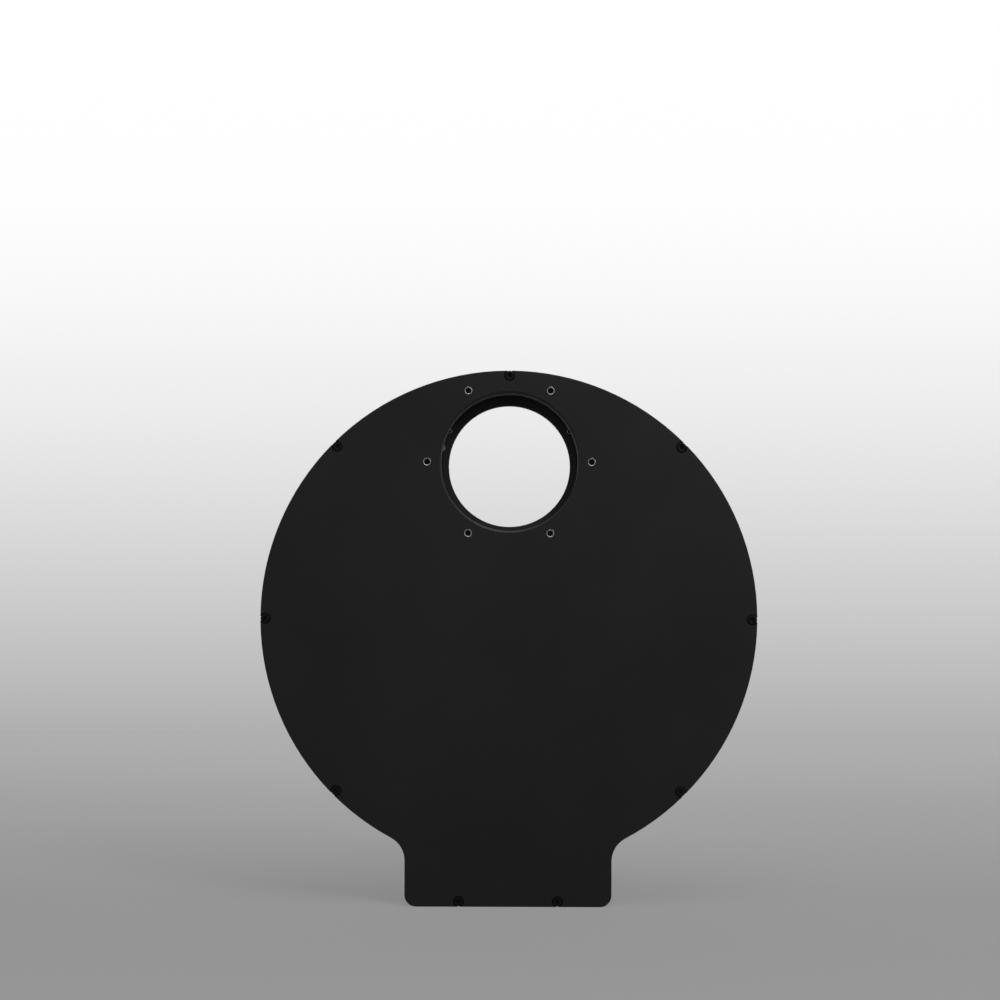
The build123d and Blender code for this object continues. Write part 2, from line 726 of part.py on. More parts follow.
with BuildPart() as control_chips:
    for edge_x, side, places in ((board_left_x, 1, left_chips), (board_right_x, -1, right_chips)):
        for across, up, width, height, rise in places:
            with BuildSketch(facing(board_front - rise, edge_x + side * across, board_foot_z + up)):
                Rectangle(width, height)
            extrude(amount=-rise)
save(control_chips, "control_chips")

with BuildPart() as small_components:
    for edge_x, side, places in ((board_left_x, 1, left_small_parts), (board_right_x, -1, right_small_parts)):
        for across, up, width, height, rise in places:
            with BuildSketch(facing(board_front - rise, edge_x + side * across, board_foot_z + up)):
                Rectangle(width, height)
            extrude(amount=-rise)
save(small_components, "small_components")

# Data socket in the tongue's bottom wall: a rounded metal shell round a contact tongue.
socket_face = Plane((socket_x, socket_depth, wheel_axis_z - tongue_reach + socket_sink), (1, 0, 0), (0, 0, -1))
with BuildPart() as socket_shell:
    with BuildSketch(socket_face):
        SlotOverall(socket_width, socket_height)
    extrude(amount=-socket_length)
    with BuildSketch(socket_face):
        SlotOverall(socket_width - 2 * socket_wall, socket_height - 2 * socket_wall)
    extrude(amount=-(socket_length - socket_back), mode=Mode.SUBTRACT)
save(socket_shell, "socket_shell")

with BuildPart() as socket_contacts:
    with BuildSketch(socket_face.offset(-(socket_length - socket_back))):
        Rectangle(contact_width, contact_thickness)
    extrude(amount=contact_length)
save(socket_contacts, "socket_contacts")

# Connectors: the motor's opens towards the motor, the sensor's towards the carousel.
motor_plug_front = board_front - motor_plug_height
with BuildPart() as motor_connector:
    with BuildSketch(facing(motor_plug_front, motor_plug_x, motor_plug_z)):
        Rectangle(motor_plug_length, motor_plug_width)
    extrude(amount=-motor_plug_height)
    with BuildSketch(facing(motor_plug_front + motor_plug_wall, board_right_x - motor_plug_inset, motor_plug_z)):
        Rectangle(motor_plug_length, motor_plug_width - 2 * motor_plug_wall)
    extrude(amount=-(motor_plug_height - 2 * motor_plug_wall), mode=Mode.SUBTRACT)
save(motor_connector, "motor_connector")

with BuildPart() as sensor_connector:
    with BuildSketch(facing(board_front - sensor_plug_height, ribbon_x, sensor_plug_z)):
        Rectangle(sensor_plug_width, sensor_plug_length)
    extrude(amount=-sensor_plug_height)
    with BuildSketch(facing(board_front - ribbon_grip - ribbon_thickness, ribbon_x, board_head_z)):
        Rectangle(ribbon_width + 2 * fit_gap, sensor_plug_length)
    extrude(amount=-2 * ribbon_thickness, mode=Mode.SUBTRACT)
save(sensor_connector, "sensor_connector")

# Motor lead: from its connector, over the board's end and up to the motor's terminal block.
lead_start_x = motor_plug_x + motor_plug_wall
lead_depth = board_front - motor_plug_height / 2
lead_end_depth = terminal_start + terminal_height / 2
with BuildPart() as motor_lead:
    with BuildLine(Plane((0, 0, terminal_z), (1, 0, 0), (0, 0, 1))) as lead_path:
        FilletPolyline(
            (lead_start_x, lead_depth),
            (board_right_x + lead_board_overhang, lead_depth),
            (board_right_x + lead_board_overhang, lead_end_depth),
            (terminal_x, lead_end_depth),
            radius=lead_bend_radius,
        )
    with BuildSketch(Plane((lead_start_x, lead_depth, terminal_z), (0, 1, 0), (1, 0, 0))):
        Circle(lead_radius)
    sweep(path=lead_path.line)
save(motor_lead, "motor_lead")

# Sensor board in its floor pocket, the sensor on it and the flat lead to the control board.
with BuildPart() as sensor_board:
    with BuildSketch(facing(sensor_board_front, sensor_board_x, sensor_board_z)):
        Rectangle(sensor_board_width, sensor_board_height)
    extrude(amount=-sensor_board_thickness)
save(sensor_board, "sensor_board")

with BuildPart() as magnetic_sensor:
    with BuildSketch(facing(sensor_board_front - sensor_height, sensor_x, sensor_z)):
        Rectangle(sensor_width, sensor_depth)
    extrude(amount=-sensor_height)
save(magnetic_sensor, "magnetic_sensor")

ribbon_start_z = sensor_board_z - sensor_board_height / 2 + ribbon_overlap
ribbon_bend_z = board_head_z + board_rim_gap / 2
ribbon_end_z = sensor_plug_z + fit_gap
with BuildPart() as sensor_lead:
    with BuildSketch(Plane((ribbon_x, 0, 0), (0, 1, 0), (1, 0, 0))):
        with BuildLine():
            FilletPolyline(
                (ribbon_depth, ribbon_start_z),
                (ribbon_depth, ribbon_bend_z),
                (board_front - ribbon_grip, ribbon_bend_z),
                (board_front - ribbon_grip, ribbon_end_z + sensor_plug_length / 4),
                radius=ribbon_bend_radius,
            )
        trace(line_width=ribbon_thickness)
    extrude(amount=ribbon_width / 2, both=True)
save(sensor_lead, "sensor_lead")
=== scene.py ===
"""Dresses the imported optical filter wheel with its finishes, threads, fasteners and studio.

Lengths in the classes below are millimetres and turn into metres when a mesh is finished. The
origin lies on the light path at the front face. X runs to the right, Y along the light path to the
rear, Z up.
"""

from __future__ import annotations

import json
import logging
import math
from collections.abc import Sequence
from dataclasses import dataclass, field
from enum import Enum
from typing import Any

import bmesh
import bpy
from mathutils import Matrix, Vector

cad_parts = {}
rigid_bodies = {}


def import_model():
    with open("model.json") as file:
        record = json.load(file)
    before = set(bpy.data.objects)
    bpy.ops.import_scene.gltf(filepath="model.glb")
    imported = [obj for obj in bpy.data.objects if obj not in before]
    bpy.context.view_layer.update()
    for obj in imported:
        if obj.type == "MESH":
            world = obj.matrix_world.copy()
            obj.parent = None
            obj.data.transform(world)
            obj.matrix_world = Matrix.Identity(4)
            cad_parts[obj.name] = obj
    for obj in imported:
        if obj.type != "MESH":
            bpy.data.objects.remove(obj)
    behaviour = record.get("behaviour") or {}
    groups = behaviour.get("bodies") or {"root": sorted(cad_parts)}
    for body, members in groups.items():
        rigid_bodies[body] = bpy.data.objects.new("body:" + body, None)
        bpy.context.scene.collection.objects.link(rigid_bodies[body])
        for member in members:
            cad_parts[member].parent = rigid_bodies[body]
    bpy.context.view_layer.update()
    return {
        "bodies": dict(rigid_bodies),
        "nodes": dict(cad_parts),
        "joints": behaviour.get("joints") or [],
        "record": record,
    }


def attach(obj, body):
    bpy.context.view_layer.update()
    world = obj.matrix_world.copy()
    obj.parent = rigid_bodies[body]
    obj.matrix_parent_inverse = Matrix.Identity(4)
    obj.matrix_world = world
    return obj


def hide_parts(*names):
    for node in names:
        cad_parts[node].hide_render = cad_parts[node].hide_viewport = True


LOG = logging.getLogger("filter_wheel")
MM = 0.001
TURN = 2 * math.pi
# Blender's wave texture runs through this angle, in radians, in one unit of its scaled coordinate.
WAVE_RADIANS = 20.0
# Corners closer than this in mm become one, and faces that meet below this angle are shaded smooth.
MERGE_DISTANCE = 0.0005
SMOOTH_ANGLE = math.radians(35)

Point2 = tuple[float, float]
Point3 = tuple[float, float, float]
Tree = bpy.types.NodeTree
Socket = bpy.types.NodeSocket


def linear(tone: str) -> tuple[float, float, float, float]:
    """Turns an sRGB hex colour into linear light.

    Args:
        tone: Colour as six hex digits after a hash sign.

    Returns:
        Red, green, blue and an alpha of one.
    """
    levels = [int(tone[i : i + 2], 16) / 255 for i in (1, 3, 5)]
    red, green, blue = (v / 12.92 if v <= 0.04045 else ((v + 0.055) / 1.055) ** 2.4 for v in levels)
    return (red, green, blue, 1.0)


def add_node(
    tree: Tree,
    kind: str,
    settings: dict[str, Any] | None = None,
    values: dict[int | str, Any] | None = None,
    links: dict[int | str, Socket] | None = None,
) -> bpy.types.Node:
    """Adds one shader node.

    Args:
        tree: Node tree that gets the node.
        kind: Blender's name for the node's type.
        settings: Properties of the node itself.
        values: Constants for its inputs, by name or number.
        links: Outputs that feed its inputs, by name or number.

    Returns:
        The new node.
    """
    node = tree.nodes.new(kind)
    for key, value in (settings or {}).items():
        setattr(node, key, value)
    for key, value in (values or {}).items():
        node.inputs[key].default_value = value
    for key, socket in (links or {}).items():
        tree.links.new(socket, node.inputs[key])
    return node


def calculate(tree: Tree, operation: str, *terms: float | Socket) -> Socket:
    """Adds one node of arithmetic.

    Args:
        tree: Node tree that gets the node.
        operation: Blender's name for the operation.
        terms: Its inputs in order, each a number or an output.

    Returns:
        The result.
    """
    links = {n: term for n, term in enumerate(terms) if isinstance(term, Socket)}
    values = {n: term for n, term in enumerate(terms) if n not in links}
    return add_node(tree, "ShaderNodeMath", {"operation": operation}, values, links).outputs[0]


def blend(tree: Tree, share: Socket, first: str | Socket, second: str) -> Socket:
    """Blends two colours.

    Args:
        tree: Node tree that gets the node.
        share: Share of the second colour.
        first: Hex tone or output.
        second: Hex tone.

    Returns:
        The blended colour.
    """
    mix = add_node(tree, "ShaderNodeMix", {"data_type": "RGBA"}, links={0: share})
    if isinstance(first, str):
        mix.inputs[6].default_value = linear(first)
    else:
        tree.links.new(first, mix.inputs[6])
    mix.inputs[7].default_value = linear(second)
    return mix.outputs[2]


def bump(tree: Tree, depth: float, height: Socket, under: Socket | None = None) -> Socket:
    """Turns a height from nought to one into a surface normal.

    Args:
        tree: Node tree that gets the node.
        depth: Depth of the relief, mm.
        height: The height.
        under: Normal of a coarser relief that this one lies on.

    Returns:
        The normal.
    """
    links = {"Height": height} if under is None else {"Height": height, "Normal": under}
    return add_node(
        tree, "ShaderNodeBump", values={"Distance": depth * MM}, links=links
    ).outputs["Normal"]


def wave_scale(pitch: float) -> float:
    """Scale at which the wave texture repeats once in a pitch given in mm."""
    return TURN / WAVE_RADIANS / (pitch * MM)


class Drive(Enum):
    """Recess in a screw's head, by the number of corners of its outline."""

    HEX_SOCKET = 6
    CROSS = 8


@dataclass(frozen=True)
class Finish:
    """A material and how its surface was made.

    Attributes:
        name: Common name of the material and its treatment.
        tone: Main colour.
        tone_two: Colour of its slight variation.
        roughness: Mean roughness.
        metallic: One for bare metal, nought for the rest.
        grain: Size of the surface grain, mm.
        depth: Depth of the grain, mm.
        cloud: Size of the colour variation, mm.
        spread: How far roughness varies about its mean.
        gloss: Level of the reflection at the surface; half is the plain level.
    """

    name: str
    tone: str
    tone_two: str
    roughness: float
    metallic: float = 0.0
    grain: float = 0.4
    depth: float = 0.004
    cloud: float = 18.0
    spread: float = 0.05
    gloss: float = 0.5

    def relief(self, tree: Tree, place: Socket, height: Socket) -> Socket:
        """Turns the grain's height into a surface normal; other finishes add their marks here.

        Args:
            tree: The material's nodes.
            place: Object coordinates.
            height: Height of the grain from nought to one.

        Returns:
            The normal for the shader.
        """
        return bump(tree, self.depth, height)

    def colour(self, tree: Tree, place: Socket, share: Socket) -> Socket:
        """Mixes the two tones by the cloudy variation.

        Args:
            tree: The material's nodes.
            place: Object coordinates.
            share: Share of the second tone.

        Returns:
            The colour for the shader.
        """
        return blend(tree, share, self.tone, self.tone_two)

    def shader_values(self) -> dict[int | str, Any]:
        """Constants set straight on the shader."""
        return {"Metallic": self.metallic, "Specular IOR Level": self.gloss}

    def material(self) -> bpy.types.Material:
        """Builds the material, or hands back the one already built.

        Returns:
            The node-based material.
        """
        known = bpy.data.materials.get(self.name)
        if known is not None:
            return known
        made = bpy.data.materials.new(self.name)
        made.use_nodes = True
        tree = made.node_tree
        tree.nodes.clear()
        out = add_node(tree, "ShaderNodeOutputMaterial")
        shader = add_node(tree, "ShaderNodeBsdfPrincipled", values=self.shader_values())
        tree.links.new(shader.outputs[0], out.inputs[0])
        place = add_node(tree, "ShaderNodeTexCoord").outputs["Object"]
        fine, clouds = (
            add_node(
                tree,
                "ShaderNodeTexNoise",
                values={"Scale": 1 / (size * MM), "Detail": detail, "Roughness": rough},
                links={"Vector": place},
            ).outputs[0]
            for size, detail, rough in ((self.grain, 3.0, 0.6), (self.cloud, 4.0, 0.55))
        )
        gloss = add_node(
            tree,
            "ShaderNodeMapRange",
            values={
                "From Min": 0.3,
                "From Max": 0.7,
                "To Min": max(self.roughness - self.spread, 0.02),
                "To Max": min(self.roughness + self.spread, 1.0),
            },
            links={"Value": clouds},
        )
        tree.links.new(gloss.outputs[0], shader.inputs["Roughness"])
        tree.links.new(self.colour(tree, place, clouds), shader.inputs["Base Color"])
        tree.links.new(self.relief(tree, place, fine), shader.inputs["Normal"])
        return made


@dataclass(frozen=True)
class TurnedFinish(Finish):
    """A surface with the fine concentric marks that a lathe or a grinding wheel leaves.

    Attributes:
        centre: Axis of the marks, X and Z, mm.
        pitch: Distance between marks, mm.
        mark_depth: Depth of the marks, mm.
    """

    centre: Point2 = (0.0, 0.0)
    pitch: float = 0.6
    mark_depth: float = 0.004

    def relief(self, tree: Tree, place: Socket, height: Socket) -> Socket:
        """Adds the turning marks to the grain.

        Args:
            tree: The material's nodes.
            place: Object coordinates.
            height: Height of the grain from nought to one.

        Returns:
            The normal for the shader.
        """
        moved = add_node(
            tree,
            "ShaderNodeMapping",
            values={"Location": (-self.centre[0] * MM, 0.0, -self.centre[1] * MM)},
            links={"Vector": place},
        )
        marks = add_node(
            tree,
            "ShaderNodeTexWave",
            {"wave_type": "RINGS", "rings_direction": "Y"},
            {"Scale": wave_scale(self.pitch), "Distortion": 1.5, "Detail": 2.0},
            {"Vector": moved.outputs[0]},
        )
        return bump(tree, self.depth, height, bump(tree, self.mark_depth, marks.outputs[0]))


@dataclass(frozen=True)
class ThreadedFinish(Finish):
    """A surface whose bores carry a screw thread, drawn as relief on walls that run along Y.

    Attributes:
        bores: Centre X, centre Z and radius of each threaded bore, mm.
        spans: Front and rear ends of the threaded walls, mm.
        pitch: Pitch of the thread, mm.
        thread_depth: Depth of the thread, mm.
        wall_reach: How far from a bore's radius its wall is looked for, mm.
        lip: Width of the cut lip round each bore's mouth, mm; nought for none.
        lip_start: Where the lip begins outside the bore's radius, mm.
        lip_highlight_tone: Paler colour of the lip, a painted highlight on the chamfer.
    """

    bores: tuple[Point3, ...] = ()
    spans: tuple[Point2, ...] = ()
    pitch: float = 0.75
    thread_depth: float = 0.22
    wall_reach: float = 0.06
    lip: float = 0.0
    lip_start: float = 0.08
    # Painted highlight: the lip round the port is tinted paler than the anodising.
    lip_highlight_tone: str = "#1e1f20"

    def colour(self, tree: Tree, place: Socket, share: Socket) -> Socket:
        """Mixes the two tones, and the painted highlight on the lip round each bore's mouth.

        Args:
            tree: The material's nodes.
            place: Object coordinates.
            share: Share of the second tone.

        Returns:
            The colour for the shader.
        """
        base = Finish.colour(self, tree, place, share)
        if self.lip == 0.0:
            return base
        split = add_node(tree, "ShaderNodeSeparateXYZ", links={0: place})
        # Masks of the ring round each mouth that gets the painted highlight.
        lip_highlight_masks = [
            self.within(
                tree,
                self.distance(tree, split, bore),
                bore[2] + self.lip_start,
                bore[2] + self.lip,
            )
            for bore in self.bores
        ]
        return blend(tree, self.either(tree, lip_highlight_masks), base, self.lip_highlight_tone)

    def distance(self, tree: Tree, split: bpy.types.Node, bore: Point3) -> Socket:
        """Distance of each point from a bore's axis, metres.

        Args:
            tree: The material's nodes.
            split: Node that gives the point's coordinates one by one.
            bore: Centre X, centre Z and radius of the bore, mm.

        Returns:
            The distance.
        """
        flat = add_node(
            tree, "ShaderNodeCombineXYZ", links={0: split.outputs[0], 2: split.outputs[2]}
        )
        away = add_node(
            tree,
            "ShaderNodeVectorMath",
            {"operation": "DISTANCE"},
            {1: (bore[0] * MM, 0.0, bore[1] * MM)},
            {0: flat.outputs[0]},
        )
        return away.outputs["Value"]

    def relief(self, tree: Tree, place: Socket, height: Socket) -> Socket:
        """Adds the thread to the grain, only on the wall of each bore.

        Args:
            tree: The material's nodes.
            place: Object coordinates.
            height: Height of the grain from nought to one.

        Returns:
            The normal for the shader.
        """
        split = add_node(tree, "ShaderNodeSeparateXYZ", links={0: place})
        depth = split.outputs[1]
        span = self.either(tree, [self.within(tree, depth, low, high) for low, high in self.spans])
        walls = [
            self.within(
                tree,
                self.distance(tree, split, bore),
                bore[2] - self.wall_reach,
                bore[2] + self.wall_reach,
            )
            for bore in self.bores
        ]
        mask = calculate(tree, "MULTIPLY", span, self.either(tree, walls))
        phase = calculate(tree, "MULTIPLY", depth, 1 / (self.pitch * MM))
        # The crest rises to a half, which the doubled depth below makes good.
        crest = calculate(tree, "PINGPONG", phase, 0.5)
        thread = calculate(tree, "MULTIPLY", crest, mask)
        return bump(tree, self.depth, height, bump(tree, 2 * self.thread_depth, thread))

    def within(self, tree: Tree, value: Socket, low: float, high: float) -> Socket:
        """One where a length in metres lies between two limits in mm, and nought elsewhere."""
        return calculate(tree, "COMPARE", value, (low + high) / 2 * MM, (high - low) / 2 * MM)

    def either(self, tree: Tree, masks: Sequence[Socket]) -> Socket:
        """The largest of several masks."""
        result = masks[0]
        for mask in masks[1:]:
            result = calculate(tree, "MAXIMUM", result, mask)
        return result


@dataclass(frozen=True)
class StripedFinish(Finish):
    """A surface with straight stripes: windings, ribbon tracks, sleeve braid or board tracks.

    Attributes:
        pitch: Distance between stripes, mm.
        direction: Axis across which the stripes lie.
        stripe_tone: Colour of the stripes.
        stripe_share: How strongly the stripes tint the surface.
        stripe_depth: Height of the stripes, mm.
    """

    pitch: float = 0.5
    direction: str = "X"
    stripe_tone: str = "#808080"
    stripe_share: float = 0.5
    stripe_depth: float = 0.03

    def stripes(self, tree: Tree, place: Socket) -> Socket:
        """The stripes' height from nought to one."""
        wave = add_node(
            tree,
            "ShaderNodeTexWave",
            {"wave_type": "BANDS", "bands_direction": self.direction},
            {"Scale": wave_scale(self.pitch), "Distortion": 0.3, "Detail": 1.0},
            {"Vector": place},
        )
        return wave.outputs[0]

    def colour(self, tree: Tree, place: Socket, share: Socket) -> Socket:
        """Tints the stripes over the clouded base.

        Args:
            tree: The material's nodes.
            place: Object coordinates.
            share: Share of the second tone.

        Returns:
            The colour for the shader.
        """
        base = Finish.colour(self, tree, place, share)
        amount = calculate(tree, "MULTIPLY", self.stripes(tree, place), self.stripe_share)
        return blend(tree, amount, base, self.stripe_tone)

    def relief(self, tree: Tree, place: Socket, height: Socket) -> Socket:
        """Raises the stripes above the grain.

        Args:
            tree: The material's nodes.
            place: Object coordinates.
            height: Height of the grain from nought to one.

        Returns:
            The normal for the shader.
        """
        raised = bump(tree, self.stripe_depth, self.stripes(tree, place))
        return bump(tree, self.depth, height, raised)


WHEEL_AXIS: Point2 = (0.0, -60.7)
MOTOR_AXIS: Point2 = (18.0, -158.05)


SEAT_COUNT = 7
SEAT_CIRCLE = 60.7
SEAT_RADIUS = 24.0


def seat_bores() -> tuple[Point3, ...]:
    """Centre X, centre Z and radius of each filter seat, mm."""
    angles = (TURN * n / SEAT_COUNT for n in range(SEAT_COUNT))
    return tuple(
        (
            SEAT_CIRCLE * math.sin(angle),
            WHEEL_AXIS[1] + SEAT_CIRCLE * math.cos(angle),
            SEAT_RADIUS,
        )
        for angle in angles
    )


# Bead-blasted black anodised aluminium: a deep satin black with a fine even grain, drawn at
# 0.35 mm so that it shows, a thread in the ports, and a painted highlight on the port's lip.
BLASTED_ANODISING = ThreadedFinish(
    "bead_blasted_black_anodising",
    "#060607",
    "#111112",
    roughness=0.4,
    gloss=0.3,
    # A ring out to 0.6 mm round the port is tinted paler as a painted highlight.
    lip=0.6,
    grain=0.35,
    depth=0.012,
    cloud=60.0,
    spread=0.04,
    bores=((0.0, 0.0, 26.6),),
    spans=((0.8, 5.0), (17.0, 19.2)),
)
# Turned black anodised aluminium: matt black with a fine grain, and a thread in each filter seat.
SEAT_ANODISING = ThreadedFinish(
    "turned_black_anodising",
    "#111112",
    "#151516",
    roughness=0.5,
    gloss=0.3,
    grain=0.25,
    depth=0.008,
    cloud=14.0,
    bores=seat_bores(),
    spans=((11.0, 16.0),),
)
# Black oxide on steel: a thin, almost neutral black with a faint sheen.
BLACK_OXIDE = Finish(
    "black_oxide_steel", "#040404", "#070706", roughness=0.42, grain=0.2, depth=0.004,
    cloud=1.5, spread=0.1, gloss=0.14,
)
# Bare aluminium where a tool has cut through the anodising: bright metal with a fine grain.
CUT_ALUMINIUM = Finish(
    "freshly_cut_aluminium", "#cfd1d3", "#b9bbbe", roughness=0.5, metallic=1.0, grain=0.15,
    depth=0.006, cloud=1.2, spread=0.12,
)
# Ground bearing steel: nearly a mirror, with fine grinding marks round the axis.
BEARING_STEEL = TurnedFinish(
    "ground_bearing_steel", "#b8b8ba", "#c4c4c6", roughness=0.2, metallic=1.0, grain=0.2,
    depth=0.001, centre=WHEEL_AXIS, pitch=0.5, mark_depth=0.002,
)
# Machined steel: grey metal with a light grain.
MACHINED_STEEL = Finish(
    "machined_steel", "#9c9c9d", "#8b8b8d", roughness=0.32, metallic=1.0, grain=0.15,
    depth=0.004, cloud=3.0, spread=0.08,
)
# Nickel plating: warm bright metal, smooth over magnets and pressed parts.
NICKEL = Finish(
    "bright_nickel_plating", "#c6c4bf", "#b6b4ae", roughness=0.3, metallic=1.0, grain=0.3,
    depth=0.002, cloud=2.5, spread=0.06,
)
# Zinc-plated sheet steel: bluish grey with the faint mottle of the plating.
ZINC_STEEL = Finish(
    "zinc_plated_sheet_steel", "#a3a8ac", "#8e9499", roughness=0.34, metallic=1.0, grain=0.5,
    depth=0.004, cloud=3.5, spread=0.1,
)
# Sintered bronze: matt golden brown with a porous grain.
SINTERED_BRONZE = Finish(
    "sintered_bronze", "#9a7440", "#7e5c33", roughness=0.5, metallic=1.0, grain=0.2, depth=0.02,
    cloud=0.9,
)
# Enamelled copper wire in layers: glossy reddish brown wires side by side.
COPPER_WINDING = StripedFinish(
    "enamelled_copper_winding", "#8c4a26", "#a55a2e", roughness=0.3, metallic=1.0, grain=0.3,
    depth=0.004, cloud=1.5, pitch=0.3, direction="Y", stripe_tone="#5b2c16", stripe_share=0.5,
    stripe_depth=0.05,
)
# Hard ferrite: dull charcoal ceramic with a pitted grain.
FERRITE = Finish(
    "hard_ferrite", "#2b2b2d", "#38383a", roughness=0.62, grain=0.25, depth=0.012, cloud=1.2,
)
# Natural acetal: milky white machined plastic with a soft gloss.
ACETAL = Finish(
    "natural_acetal", "#dedbd0", "#d6d2c6", roughness=0.36, grain=0.3, depth=0.005, cloud=2.5,
)
# Green solder mask over laminate: glossy green, with tracks drawn as slanting raised lines.
SOLDER_MASK = StripedFinish(
    "green_solder_mask", "#0f4f2b", "#0d4526", roughness=0.26, grain=0.5, depth=0.004,
    cloud=4.0, spread=0.04, pitch=1.6, direction="DIAGONAL", stripe_tone="#1d6a3e",
    stripe_share=0.7, stripe_depth=0.03,
)
# Moulded epoxy: charcoal chip bodies with a fine moulded grain.
MOULDED_EPOXY = Finish(
    "moulded_epoxy", "#1b1b1d", "#232325", roughness=0.48, grain=0.12, depth=0.006, cloud=2.0,
)
# Fired ceramic: tan bodies of capacitors, slightly glossy.
FIRED_CERAMIC = Finish(
    "fired_ceramic", "#9b7f58", "#8a7050", roughness=0.4, grain=0.15, depth=0.004, cloud=0.8,
)
# Tinned copper: soft bright solder on leads and pads.
TINNED = Finish(
    "tinned_copper", "#b4b5b6", "#a0a1a3", roughness=0.3, metallic=1.0, grain=0.2, depth=0.008,
    cloud=0.6,
)
# Gold-plated contact bronze: warm, bright and nearly smooth.
GOLD_CONTACT = Finish(
    "gold_plated_contacts", "#c99a4a", "#bb8c40", roughness=0.22, metallic=1.0, grain=0.2,
    depth=0.002, cloud=0.8,
)
# Moulded nylon: cream connector bodies, faintly waxy.
NYLON = Finish(
    "moulded_nylon", "#ddd3b8", "#d3c8ab", roughness=0.45, grain=0.3, depth=0.006, cloud=2.0,
)
# Polyimide film over copper tracks: glossy amber with darker lines.
POLYIMIDE = StripedFinish(
    "polyimide_flat_lead", "#b8701c", "#a86318", roughness=0.24, grain=0.5, depth=0.002,
    cloud=3.0, pitch=0.8, direction="X", stripe_tone="#6d3a10", stripe_share=0.7,
    stripe_depth=0.03,
)
# Braided polyester sleeve: matt black with small slanting ridges.
BRAIDED_SLEEVE = StripedFinish(
    "braided_black_sleeve", "#18181a", "#222224", roughness=0.6, grain=0.12, depth=0.01,
    cloud=1.0, pitch=0.5, direction="DIAGONAL", stripe_tone="#2c2c2f", stripe_share=0.8,
    stripe_depth=0.06,
)


@dataclass(frozen=True)
class ScrewForm:
    """Shape of a screw, mm.

    Attributes:
        drive: Shape of the recess.
        drive_radius: Corner radius of the recess.
        drive_depth: Depth of the recess.
        head_height: Height of the head.
        rounding: Rounding of the head's edge.
        head_radius: Radius of the head.
        core_radius: Radius of the plain shank.
        tip_share: Length of the shank's tapered end, in core radii.
        lip_share: Radius of the recess's countersink, in corner radii.
        lip_depth: Depth of that countersink.
        arm_share: Inner radius of a cross recess, in corner radii.
    """

    drive: Drive
    drive_radius: float
    drive_depth: float
    head_height: float
    rounding: float
    head_radius: float = 1.9
    core_radius: float = 0.75
    tip_share: float = 0.4
    lip_share: float = 1.12
    lip_depth: float = 0.06
    arm_share: float = 0.36


# Steps round a screw, how far its end stops short of its axis in mm, how far a head's rounded edge
# lies in from its corner as a share of the rounding, and how closely its rim is matched in mm.
SCREW_STEPS = 48
AXIS_GAP = 0.0001
CORNER_SHARE = 0.3
DEPTH_MATCH = 1e-4
RADIUS_MATCH = 1e-3
COVER_SCREW = ScrewForm(Drive.HEX_SOCKET, 0.87, 0.75, head_height=1.3, rounding=0.2)
CROSS_SCREW = ScrewForm(Drive.CROSS, 1.1, 0.6, head_height=1.2, rounding=0.5)


